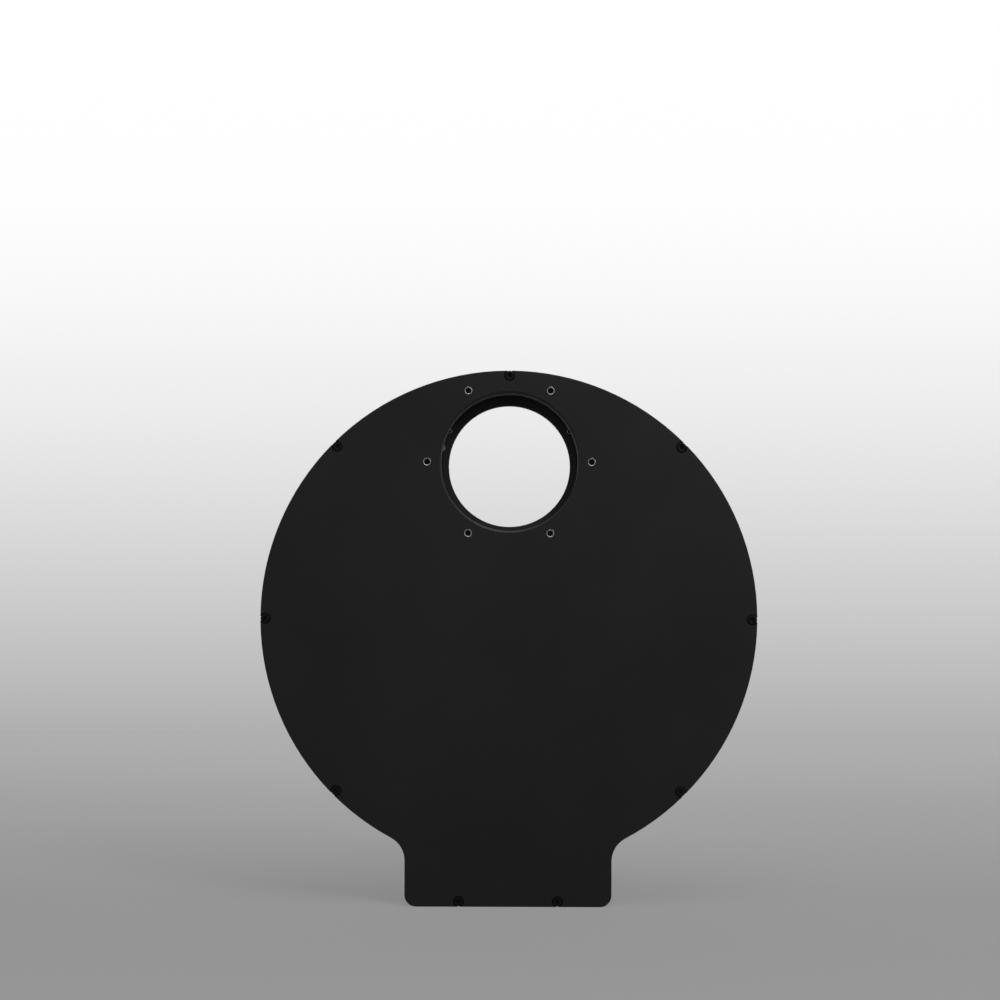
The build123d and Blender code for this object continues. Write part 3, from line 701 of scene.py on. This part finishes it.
class Workpiece:
    """A mesh under way, in millimetres, that becomes one piece riding on a body."""

    def __init__(self, name: str, body: str, slot: str) -> None:
        """Starts an empty mesh.

        Args:
            name: Name of the piece.
            body: Body that carries it.
            slot: The record's material slot for the piece; stored but not used.
        """
        self.name = name
        self.body = body
        self.slot = slot
        self.mesh = bmesh.new()

    def turn(
        self,
        profile: Sequence[Point2],
        centre: Point2,
        steps: int,
        turns: float = 1.0,
        rise: float = 0.0,
    ) -> None:
        """Spins a profile round an axis that runs along Y, closed or as a helix.

        Args:
            profile: Radius and depth of each point.
            centre: X and Z of the axis.
            steps: Steps in each turn.
            turns: Number of turns; more than one makes a helix.
            rise: Advance along Y for each turn.
        """
        points = [self.mesh.verts.new((centre[0] + r, y, centre[1])) for r, y in profile]
        edges = [self.mesh.edges.new(pair) for pair in zip(points, points[1:])]
        bmesh.ops.spin(
            self.mesh,
            geom=points + edges,
            cent=(centre[0], 0.0, centre[1]),
            axis=(0.0, 1.0, 0.0),
            dvec=(0.0, rise / steps, 0.0),
            angle=TURN * turns,
            steps=int(steps * turns),
            use_merge=rise == 0.0,
            use_duplicate=False,
        )

    def block(self, low: Point3, high: Point3, bevel: float = 0.0) -> None:
        """Adds a box, its edges bevelled by one flat face each.

        Args:
            low: Lowest corner.
            high: Highest corner.
            bevel: Width of the bevel; nought for sharp edges.
        """
        size = [b - a for a, b in zip(low, high)]
        middle = [(a + b) / 2 for a, b in zip(low, high)]
        verts = bmesh.ops.create_cube(self.mesh, size=1.0)["verts"]
        bmesh.ops.scale(self.mesh, vec=size, verts=verts)
        bmesh.ops.translate(self.mesh, vec=middle, verts=verts)
        if bevel > 0.0:
            edges = list({e for v in verts for e in v.link_edges})
            bmesh.ops.bevel(
                self.mesh,
                geom=edges,
                offset=bevel,
                affect="EDGES",
                segments=1,
                profile=0.5,
                material=-1,
            )

    def screw(self, centre: Point2, front: float, tip: float, form: ScrewForm) -> None:
        """Adds a screw whose head faces the front, with a recess and a plain shank.

        Args:
            centre: X and Z of its axis.
            front: Depth of the head's top.
            tip: Depth of the shank's end.
            form: Shape of the screw.
        """
        core, head, rounding = form.core_radius, form.head_radius, form.rounding
        under = front + form.head_height
        lip = form.drive_radius * form.lip_share
        profile = [(AXIS_GAP, tip), (core, tip - core * form.tip_share), (core, under)]
        profile += [(head, under), (head, front + rounding)]
        profile += [(head - rounding * CORNER_SHARE, front + rounding * CORNER_SHARE)]
        profile += [(head - rounding, front), (lip, front)]
        self.turn(profile, centre, SCREW_STEPS)
        rim = [
            e
            for e in self.mesh.edges
            if e.is_boundary
            and all(
                abs(v.co.y - front) < DEPTH_MATCH
                and abs(math.hypot(v.co.x - centre[0], v.co.z - centre[1]) - lip) < RADIUS_MATCH
                for v in e.verts
            )
        ]
        upright = Matrix.Rotation(math.pi / 2, 4, "X")
        turned = Matrix.Translation((centre[0], front + form.lip_depth, centre[1])) @ upright
        corners = form.drive.value
        ring = bmesh.ops.create_circle(
            self.mesh, cap_ends=False, radius=form.drive_radius, segments=corners, matrix=turned
        )["verts"]
        if form.drive is Drive.CROSS:
            bmesh.ops.scale(
                self.mesh,
                vec=(form.arm_share, 1.0, form.arm_share),
                verts=ring[1::2],
                space=Matrix.Translation((-centre[0], 0.0, -centre[1])),
            )
        edges = list({e for v in ring for e in v.link_edges})
        cuts = SCREW_STEPS // corners - 1
        cut = bmesh.ops.subdivide_edges(self.mesh, edges=edges, cuts=cuts)
        made = cut["geom_inner"] + cut["geom_split"]
        loop = [e for e in made if isinstance(e, bmesh.types.BMEdge)]
        loop = list({e for e in loop + edges if e.is_valid and not e.link_faces})
        bmesh.ops.bridge_loops(self.mesh, edges=rim + loop)
        wall = bmesh.ops.extrude_edge_only(self.mesh, edges=loop)["geom"]
        low = [v for v in wall if isinstance(v, bmesh.types.BMVert)]
        bmesh.ops.translate(self.mesh, vec=(0.0, form.drive_depth, 0.0), verts=low)
        floor = [e for e in wall if isinstance(e, bmesh.types.BMEdge)]
        bmesh.ops.edgeloop_fill(self.mesh, edges=[e for e in floor if e.is_boundary])

    def place(self, finish: Finish, replaces: Sequence[str] = ()) -> None:
        """Turns the mesh into a finished piece on its body.

        Args:
            finish: Finish of the piece.
            replaces: CAD nodes that it stands for.
        """
        bmesh.ops.remove_doubles(self.mesh, verts=self.mesh.verts, dist=MERGE_DISTANCE)
        bmesh.ops.recalc_face_normals(self.mesh, faces=self.mesh.faces)
        bmesh.ops.scale(self.mesh, vec=(MM, MM, MM), verts=self.mesh.verts)
        data = bpy.data.meshes.new(self.name)
        self.mesh.to_mesh(data)
        self.mesh.free()
        piece = bpy.data.objects.new(self.name, data)
        bpy.context.scene.collection.objects.link(piece)
        data.materials.append(finish.material())
        data.polygons.foreach_set("use_smooth", [True] * len(data.polygons))
        data.set_sharp_from_angle(angle=SMOOTH_ANGLE)
        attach(piece, self.body)
        if replaces:
            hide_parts(*replaces)
        LOG.info("%s: %d faces on %s", self.name, len(data.polygons), self.body)


@dataclass
class DressedNode:
    """A CAD node that keeps its shape and gets its finish."""

    node: str
    finish: Finish

    def dress(self, frame: dict[str, Any]) -> None:
        """Gives the node its finish.

        Args:
            frame: The loaded frame.
        """
        piece = frame["nodes"][self.node]
        material = self.finish.material()
        if not piece.data.materials:
            piece.data.materials.append(material)
        for place in piece.material_slots:
            place.material = material
        LOG.info("%s: CAD shape, %s", self.node, self.finish.name)


def polar(radius: float, degrees: float, centre: Point2 = (0.0, 0.0)) -> Point2:
    """A point at an angle from X towards Z round a centre."""
    angle = math.radians(degrees)
    return (centre[0] + radius * math.cos(angle), centre[1] + radius * math.sin(angle))


@dataclass
class Enclosure:
    """Cover, housing and the screws and cut edges that show on them.

    Attributes:
        rim_radius: Radius of the screws round the disc.
        foot_offset: Distance of the foot screws from the middle.
        foot_drop: Distance of the foot screws below the wheel's axis.
        head_sink: How far the heads lie below the plate.
        screw_tip: Depth of the cover screws' ends.
        tap_circle: Radius of the circle of tapped holes.
        tap_radius: Radius of a tapped hole.
        tap_mouth: Radius of its chamfer's mouth.
        tap_count: Number of tapped holes on each face.
        depth: Depth of the whole body.
        ring_margin: How far the bright ring reaches to each side of the mouth's edge.
        ring_lift: How far it stands off the surface at both of those places.
        ring_share: How far down the chamfer it goes, as a share of the chamfer.
        thread_start: Depth at which the bright thread begins.
        thread_crest: How far its crest stands in from the tap's wall.
        thread_root: How far its root stands in from the tap's wall.
        thread_half: Half of a ridge's width.
        thread_pitch: Pitch of the thread.
        tap_turns: Turns of thread that show bright behind each mouth.
    """

    rim_radius: float = 94.05
    foot_offset: float = 19.1
    foot_drop: float = 109.1
    head_sink: float = 0.2
    screw_tip: float = 8.2
    tap_circle: float = 31.8
    tap_radius: float = 1.05
    tap_mouth: float = 1.45
    tap_count: int = 6
    depth: float = 20.0
    ring_margin: float = 0.03
    ring_lift: float = 0.012
    ring_share: float = 0.6
    thread_start: float = 0.62
    thread_crest: float = 0.04
    thread_root: float = 0.01
    thread_half: float = 0.2
    thread_pitch: float = 0.45
    tap_turns: float = 3.0

    def screw_points(self) -> list[Point2]:
        """Places of the nine cover screws, mm."""
        points = [polar(self.rim_radius, 45.0 * n, WHEEL_AXIS) for n in range(-1, 6)]
        points += [(s * self.foot_offset, WHEEL_AXIS[1] - self.foot_drop) for s in (-1, 1)]
        return points

    def build_cover_screws(self) -> None:
        """Builds the cover screws with hexagon sockets."""
        work = Workpiece("cover_screw_set", "housing", "black_steel")
        for centre in self.screw_points():
            work.screw(centre, self.head_sink, self.screw_tip, COVER_SCREW)
        work.place(BLACK_OXIDE, ["cover_screws"])

    def ring_profile(self, face: float, way: float) -> list[Point2]:
        """Radius and depth of the bright ring at a tap's mouth.

        Args:
            face: Depth of the face that the tap opens in.
            way: One where depth grows into the body, minus one where it falls.

        Returns:
            The profile.
        """
        step = (self.tap_mouth - self.tap_radius) * self.ring_share
        return [
            (self.tap_mouth + self.ring_margin, face + way * self.ring_lift),
            (self.tap_mouth - self.ring_margin, face - way * self.ring_lift),
            (self.tap_mouth - step, face + way * (step - self.ring_margin)),
        ]

    def thread_profile(self, face: float, way: float) -> list[Point2]:
        """Radius and depth of one ridge of the bright thread.

        Args:
            face: Depth of the face that the tap opens in.
            way: One where depth grows into the body, minus one where it falls.

        Returns:
            The profile.
        """
        start = face + way * self.thread_start
        root = self.tap_radius - self.thread_root
        return [
            (root, start - self.thread_half),
            (self.tap_radius - self.thread_crest, start),
            (root, start + self.thread_half),
        ]

    def build_tap_edges(self) -> None:
        """Builds the bright chamfers and threads of the tapped holes, front and rear."""
        step = 360.0 / self.tap_count
        centres = [polar(self.tap_circle, step * n) for n in range(self.tap_count)]
        for side, face, way in (("front", 0.0, 1.0), ("rear", self.depth, -1.0)):
            edges = Workpiece(f"{side}_tap_edges", "housing", "anodised_black")
            for centre in centres:
                edges.turn(self.ring_profile(face, way), centre, steps=36)
            edges.place(CUT_ALUMINIUM)
            threads = Workpiece(f"{side}_tap_threads", "housing", "anodised_black")
            for centre in centres:
                threads.turn(
                    self.thread_profile(face, way),
                    centre,
                    steps=24,
                    turns=self.tap_turns,
                    rise=way * self.thread_pitch,
                )
            threads.place(CUT_ALUMINIUM)

    def dress(self, frame: dict[str, Any]) -> None:
        """Dresses the cover and the housing.

        Args:
            frame: The loaded frame.
        """
        DressedNode("front_cover", BLASTED_ANODISING).dress(frame)
        DressedNode("rear_housing", BLASTED_ANODISING).dress(frame)
        DressedNode("axle_screw", BLACK_OXIDE).dress(frame)
        self.build_cover_screws()
        self.build_tap_edges()


@dataclass
class Carousel:
    """Toothed plate with its seats, clip taps, magnets and bearings.

    Attributes:
        clip_circle: Radius of the clip taps about a seat.
        clip_radius: Radius of a clip tap.
        clip_angles: Places of the clip taps round a seat, degrees.
        plate_front: Depth of the plate's front face.
        ring_outside: How far the bright ring reaches outside the tap.
        ring_inside: How far in from the tap's wall its flat part ends.
        ring_lift: How far the flat part stands off the plate.
        cone_inside: How far in from the tap's wall the cone ends.
        cone_depth: Depth of the cone.
    """

    clip_circle: float = 27.2
    clip_radius: float = 0.8
    clip_angles: Point3 = (30.0, 150.0, 270.0)
    plate_front: float = 11.8
    ring_outside: float = 0.1
    ring_inside: float = 0.01
    ring_lift: float = 0.012
    cone_inside: float = 0.25
    cone_depth: float = 0.4

    def build_clip_edges(self) -> None:
        """Builds the bright mouths of the clip taps round each seat."""
        work = Workpiece("clip_tap_edges", "carousel", "carousel_black")
        lifted = self.plate_front - self.ring_lift
        profile = [
            (self.clip_radius + self.ring_outside, lifted),
            (self.clip_radius - self.ring_inside, lifted),
            (self.clip_radius - self.cone_inside, self.plate_front + self.cone_depth),
        ]
        for seat in range(SEAT_COUNT):
            turn = 360.0 * seat / SEAT_COUNT
            middle = polar(SEAT_CIRCLE, 90.0 + turn, WHEEL_AXIS)
            for angle in self.clip_angles:
                work.turn(profile, polar(self.clip_circle, angle + turn, middle), steps=24)
        work.place(CUT_ALUMINIUM)

    def dress(self, frame: dict[str, Any]) -> None:
        """Dresses the carousel, its magnets and its bearings.

        Args:
            frame: The loaded frame.
        """
        DressedNode("carousel", SEAT_ANODISING).dress(frame)
        DressedNode("index_magnets", NICKEL).dress(frame)
        for node in ("bearing_inner_races", "bearing_outer_races"):
            DressedNode(node, BEARING_STEEL).dress(frame)
        for node in ("axle", "race_spacer"):
            DressedNode(node, MACHINED_STEEL).dress(frame)
        self.build_clip_edges()


@dataclass
class MotorDrive:
    """Small geared stepper motor with its pinion, lead and screws.

    Attributes:
        ear_distance: Distance of each ear's screw from the shaft.
        turn_degrees: Turn of the ears about the shaft.
        head_front: Depth of the screw heads' tops.
        screw_tip: Depth of the screws' ends.
    """

    ear_distance: float = 13.0
    turn_degrees: float = 10.4757
    head_front: float = 8.4
    screw_tip: float = 14.2

    def build_screws(self) -> None:
        """Builds the two screws that hold the motor's ears."""
        work = Workpiece("motor_screw_pair", "housing", "bare_steel")
        for side in (0.0, 180.0):
            centre = polar(self.ear_distance, side + self.turn_degrees, MOTOR_AXIS)
            work.screw(centre, self.head_front, self.screw_tip, CROSS_SCREW)
        work.place(MACHINED_STEEL, ["motor_screws"])

    def dress(self, frame: dict[str, Any]) -> None:
        """Dresses the motor's parts.

        Args:
            frame: The loaded frame.
        """
        for node, finish in (
            ("motor_can", ZINC_STEEL),
            ("motor_flange", ZINC_STEEL),
            ("motor_stator", COPPER_WINDING),
            ("motor_bushes", SINTERED_BRONZE),
            ("motor_terminal", MOULDED_EPOXY),
            ("motor_shaft", MACHINED_STEEL),
            ("rotor_magnet", FERRITE),
            ("drive_pinion", ACETAL),
            ("motor_lead", BRAIDED_SLEEVE),
            ("motor_connector", NYLON),
        ):
            DressedNode(node, finish).dress(frame)
        self.build_screws()


@dataclass
class Electronics:
    """Control board, sensor board, chips, contacts and the data socket.

    Attributes:
        board_front: Depth of the control board's front.
        chips: Centre X and Z, width and height of each chip with leads.
        lead_pitch: Distance between a chip's leads.
        lead_start: Distance of the first lead from the chip's end.
        lead_reach: How far a lead stands out of the chip.
        lead_rise: Height of a lead above the board.
        lead_half: Half of a lead's width.
        lead_bevel: Bevel of a lead's edges.
        screws: Places of the board's screws.
        screw_tip: Depth of the board screws' ends.
        socket_x: Middle of the data socket.
        socket_depth: Depth of the socket's middle.
        mouth: Height of the socket's mouth plane.
        strip_count: Number of contact strips on each side of the tongue.
        strip_pitch: Distance between strips.
        strip_half: Half of a strip's width.
        strip_faces: Distances of a strip's two faces from the tongue's middle.
        strip_ends: Distances of a strip's two ends from the mouth.
    """

    board_front: float = 14.6
    chips: tuple[tuple[float, float, float, float], ...] = (
        (-25.0, -159.7, 7.0, 7.0),
        (-7.0, -161.8, 5.0, 4.4),
    )
    lead_pitch: float = 0.8
    lead_start: float = 0.6
    lead_reach: float = 0.55
    lead_rise: float = 0.32
    lead_half: float = 0.15
    lead_bevel: float = 0.04
    screws: tuple[Point2, ...] = ((-32.3, -165.3), (-32.3, -155.3), (-1.3, -165.3))
    screw_tip: float = 18.1
    socket_x: float = -16.0
    socket_depth: float = 12.97
    mouth: float = -171.7
    strip_count: int = 12
    strip_pitch: float = 0.5
    strip_half: float = 0.13
    strip_faces: Point2 = (0.34, 0.38)
    strip_ends: Point2 = (2.0, 6.0)

    def build_chip_leads(self) -> None:
        """Builds the tinned leads along the chips' sides."""
        work = Workpiece("chip_leads", "housing", "bare_steel")
        low, high = self.board_front - self.lead_rise, self.board_front
        for x, z, width, height in self.chips:
            for side in (-1.0, 1.0):
                edge = x + side * width / 2
                ends = sorted((edge, edge + side * self.lead_reach))
                for number in range(int(height / self.lead_pitch)):
                    level = z - height / 2 + self.lead_start + self.lead_pitch * number
                    work.block(
                        (ends[0], low, level - self.lead_half),
                        (ends[1], high, level + self.lead_half),
                        self.lead_bevel,
                    )
        work.place(TINNED)

    def build_board_screws(self) -> None:
        """Builds the three screws that hold the control board."""
        work = Workpiece("board_screw_set", "housing", "bare_steel")
        for centre in self.screws:
            head_front = self.board_front - CROSS_SCREW.head_height
            work.screw(centre, head_front, self.screw_tip, CROSS_SCREW)
        work.place(MACHINED_STEEL, ["board_screws"])

    def build_contacts(self) -> None:
        """Builds the contact strips on both sides of the socket's tongue."""
        work = Workpiece("socket_contact_strips", "housing", "nickel")
        for side in (-1.0, 1.0):
            faces = sorted(self.socket_depth + side * face for face in self.strip_faces)
            low, high = (self.mouth + end for end in self.strip_ends)
            for number in range(self.strip_count):
                x = self.socket_x + self.strip_pitch * (number - (self.strip_count - 1) / 2)
                left, right = x - self.strip_half, x + self.strip_half
                work.block((left, faces[0], low), (right, faces[1], high))
        work.place(GOLD_CONTACT)

    def dress(self, frame: dict[str, Any]) -> None:
        """Dresses the boards and what they carry.

        Args:
            frame: The loaded frame.
        """
        for node, finish in (
            ("control_board", SOLDER_MASK),
            ("sensor_board", SOLDER_MASK),
            ("control_chips", MOULDED_EPOXY),
            ("magnetic_sensor", MOULDED_EPOXY),
            ("small_components", FIRED_CERAMIC),
            ("socket_shell", NICKEL),
            ("socket_contacts", MOULDED_EPOXY),
            ("sensor_connector", NYLON),
            ("sensor_lead", POLYIMIDE),
        ):
            DressedNode(node, finish).dress(frame)
        self.build_chip_leads()
        self.build_board_screws()
        self.build_contacts()


@dataclass(frozen=True)
class Lamp:
    """A soft rectangular lamp.

    Attributes:
        name: Name of the lamp.
        place: Its place, metres.
        target: The point it faces, metres.
        size: Width and height, metres.
        power: Power, watts.
    """

    name: str
    place: Point3
    target: Point3
    size: Point2
    power: float

    def hang(self) -> None:
        """Builds the lamp and adds it to the scene."""
        light = bpy.data.lights.new(self.name, "AREA")
        light.shape = "RECTANGLE"
        light.size, light.size_y = self.size
        light.energy = self.power
        lamp = bpy.data.objects.new(self.name, light)
        lamp.location = self.place
        aim = Vector(self.target) - Vector(self.place)
        lamp.rotation_euler = aim.to_track_quat("-Z", "Y").to_euler()
        bpy.context.scene.collection.objects.link(lamp)


@dataclass
class Studio:
    """Floor, backdrop, lamps, world and camera.

    Attributes:
        floor_level: Height of the floor, metres.
        wall_depth: Depth of the backdrop, metres.
        camera_place: Place of the camera, metres.
        lens: Focal length, mm, on a 36 mm sensor.
        shift: Sideways and upward shift of the lens.
        roll: Roll of the camera, degrees.
        face_row: Height of one row of the front view at the front face, mm.
        rows: Rows in that view.
        level_row: Row at the camera's own height.
        half_width: Half of the width of floor and wall, metres.
        floor_front: Where the floor ends behind the camera, metres.
        wall_top: Height of the wall's top, metres.
        wall_glow: Share of the wall that the camera sees free of the lamps.
        floor_glow: The same for the floor, so that the object still shades it.
        air: Strength of the even light from all round.
        lamps: The lamps.
        ramp_reach: Place that the end of a colour ramp stands for.
        wall_painted_light: Place and colour of the wall's stops, painted light from white at the
            top to grey lower down: nought is the view's top, one its foot.
        floor_painted_light: Place and colour of the floor's stops, painted light and shade, lighter
            at the wall's foot and darker towards the front, on the same scale.
    """

    floor_level: float = -0.1719
    wall_depth: float = 1.0
    camera_place: Point3 = (0.0, -0.533, -0.0684)
    lens: float = 49.7
    shift: Point2 = (-0.0088, 0.139)
    roll: float = -0.2
    face_row: float = 0.386
    rows: int = 1000
    level_row: int = 639
    half_width: float = 3.0
    floor_front: float = -2.5
    wall_top: float = 2.6
    wall_glow: float = 1.0
    floor_glow: float = 0.75
    air: float = 0.4
    lamps: tuple[Lamp, ...] = (
        Lamp("top_lamp", (0.1, -0.4, 1.0), (0.0, 0.0, -0.05), (0.9, 0.7), 7.5),
        Lamp("key_lamp", (0.75, -0.85, 0.8), (0.0, 0.0, -0.06), (0.45, 0.45), 8.5),
        Lamp("left_lamp", (-0.8, -0.4, -0.04), (0.0, 0.0, -0.04), (0.3, 0.2), 0.5),
    )
    ramp_reach: float = 2.0
    # Painted light on the backdrop, white at the top and falling to grey lower down.
    wall_painted_light: tuple[tuple[float, str], ...] = (
        (0.0, "#ffffff"),
        (0.20, "#fefefe"),
        (0.30, "#f8f8f8"),
        (0.42, "#ebebeb"),
        (0.48, "#e2e2e2"),
        (0.515, "#dcdcdc"),
        (0.70, "#b7b7b7"),
        (0.80, "#9f9f9f"),
    )
    # Painted light and shade on the floor, lighter at the wall's foot and darker towards the front.
    floor_painted_light: tuple[tuple[float, str], ...] = (
        (0.0, "#a0a0a0"),
        (0.60, "#a0a0a0"),
        (0.70, "#c2c2c2"),
        (0.74, "#b6b6b6"),
        (0.80, "#a5a5a5"),
        (0.85, "#9c9c9c"),
        (0.90, "#959595"),
        (0.95, "#949494"),
        (1.02, "#959595"),
        (1.40, "#a0a0a0"),
    )

    def view_share(self, tree: Tree, split: bpy.types.Node, is_wall: bool) -> Socket:
        """How far down the front view each point lies: nought at its top, one at its foot.

        Args:
            tree: The material's nodes.
            split: Node that gives the point's coordinates one by one.
            is_wall: Whether the paper stands upright; else it lies on the floor.

        Returns:
            The share.
        """
        distance, level = -self.camera_place[1], self.camera_place[2]
        if is_wall:
            row = self.face_row * MM * (self.wall_depth + distance) / distance
            ends = {
                "From Min": level + self.level_row * row,
                "From Max": level + (self.level_row - self.rows) * row,
            }
            return add_node(
                tree, "ShaderNodeMapRange", values=ends, links={"Value": split.outputs[2]}
            ).outputs[0]
        drop = (level - self.floor_level) * distance / (self.face_row * MM) / self.rows
        away = calculate(tree, "ADD", split.outputs[1], distance)
        below = calculate(tree, "DIVIDE", drop, away)
        return calculate(tree, "ADD", below, self.level_row / self.rows)

    def graded(self, name: str, is_wall: bool) -> bpy.types.Material:
        """Builds the paper's material, its colour painted light graded from white at the top to
        grey near the front.

        Args:
            name: Name of the material.
            is_wall: Whether it stands upright; else it lies on the floor.

        Returns:
            The material.
        """
        made = bpy.data.materials.new(name)
        made.use_nodes = True
        tree = made.node_tree
        tree.nodes.clear()
        out = add_node(tree, "ShaderNodeOutputMaterial")
        place = add_node(tree, "ShaderNodeTexCoord").outputs["Object"]
        split = add_node(tree, "ShaderNodeSeparateXYZ", links={0: place})
        share = self.view_share(tree, split, is_wall)
        along = calculate(tree, "MULTIPLY", share, 1 / self.ramp_reach)
        ramp = add_node(tree, "ShaderNodeValToRGB", links={0: along})
        stops = ramp.color_ramp.elements
        for number, (at, tone) in enumerate(self.wall_painted_light if is_wall else self.floor_painted_light):
            stop = stops[number] if number < 2 else stops.new(at / self.ramp_reach)
            stop.position = at / self.ramp_reach
            stop.color = linear(tone)
        paper = add_node(tree, "ShaderNodeBsdfDiffuse", links={"Color": ramp.outputs[0]})
        glow = add_node(tree, "ShaderNodeEmission", links={"Color": ramp.outputs[0]})
        rays = add_node(tree, "ShaderNodeLightPath").outputs
        seen = calculate(tree, "MAXIMUM", rays["Is Camera Ray"], rays["Is Glossy Ray"])
        seen = calculate(tree, "MAXIMUM", seen, rays["Is Transmission Ray"])
        # Camera, glossy and transmission rays see the paper glow in its graded colour as painted
        # light: all of the wall, three quarters of the floor, so that the object's shadow still
        # shows.
        amount = calculate(tree, "MULTIPLY", seen, self.wall_glow if is_wall else self.floor_glow)
        mix = add_node(
            tree,
            "ShaderNodeMixShader",
            links={0: amount, 1: paper.outputs[0], 2: glow.outputs[0]},
        )
        tree.links.new(mix.outputs[0], out.inputs[0])
        return made

    def sheet(self, name: str, low: Point3, high: Point3, is_wall: bool) -> None:
        """Builds a flat sheet of paper as floor or wall.

        Args:
            name: Name of the sheet.
            low: One corner, metres.
            high: The opposite corner, metres.
            is_wall: Whether it stands upright.
        """
        mesh = bmesh.new()
        verts = bmesh.ops.create_grid(mesh, x_segments=1, y_segments=1, size=0.5)["verts"]
        if is_wall:
            bmesh.ops.rotate(mesh, matrix=Matrix.Rotation(math.pi / 2, 3, "X"), verts=verts)
        size = [max(b - a, 0.0) or 1.0 for a, b in zip(low, high)]
        bmesh.ops.scale(mesh, vec=size, verts=verts)
        bmesh.ops.translate(mesh, vec=[(a + b) / 2 for a, b in zip(low, high)], verts=verts)
        data = bpy.data.meshes.new(name)
        mesh.to_mesh(data)
        mesh.free()
        sheet = bpy.data.objects.new(name, data)
        bpy.context.scene.collection.objects.link(sheet)
        data.materials.append(self.graded(f"{name}_paper", is_wall))

    def light(self) -> None:
        """Sets the world and the lamps."""
        world = bpy.data.worlds.new("studio_air")
        bpy.context.scene.world = world
        world.use_nodes = True
        background = world.node_tree.nodes["Background"]
        background.inputs[0].default_value = linear("#ffffff")
        background.inputs[1].default_value = self.air
        for lamp in self.lamps:
            lamp.hang()

    def aim_camera(self) -> None:
        """Sets the camera square to the front face, with its slight roll."""
        data = bpy.data.cameras.new("camera")
        data.sensor_width = 36.0
        data.lens = self.lens
        data.shift_x, data.shift_y = self.shift
        data.clip_start = 0.01
        camera = bpy.data.objects.new("camera", data)
        camera.location = self.camera_place
        camera.rotation_euler = (math.pi / 2, math.radians(self.roll), 0.0)
        bpy.context.scene.collection.objects.link(camera)
        bpy.context.scene.camera = camera

    def build(self) -> None:
        """Builds the whole studio."""
        side, level, wall = self.half_width, self.floor_level, self.wall_depth
        self.aim_camera()
        self.sheet("floor", (-side, self.floor_front, level), (side, wall, level), False)
        self.sheet("backdrop", (-side, wall, level), (side, wall, self.wall_top), True)
        self.light()
        bpy.context.scene.view_settings.view_transform = "Standard"


@dataclass
class FilterWheel:
    """The whole instrument, sub-assembly by sub-assembly."""

    enclosure: Enclosure = field(default_factory=Enclosure)
    carousel: Carousel = field(default_factory=Carousel)
    drive: MotorDrive = field(default_factory=MotorDrive)
    electronics: Electronics = field(default_factory=Electronics)

    def dress(self, frame: dict[str, Any]) -> None:
        """Dresses every sub-assembly in turn.

        Args:
            frame: The loaded frame.
        """
        for part in (self.enclosure, self.carousel, self.drive, self.electronics):
            LOG.info("dressing %s", type(part).__name__)
            part.dress(frame)


def main() -> None:
    """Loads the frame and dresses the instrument."""
    logging.basicConfig(level=logging.INFO, format="%(name)s %(message)s")
    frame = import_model()
    FilterWheel().dress(frame)
    Studio().build()
    bpy.context.view_layer.update()


if __name__ == "__main__":
    main()
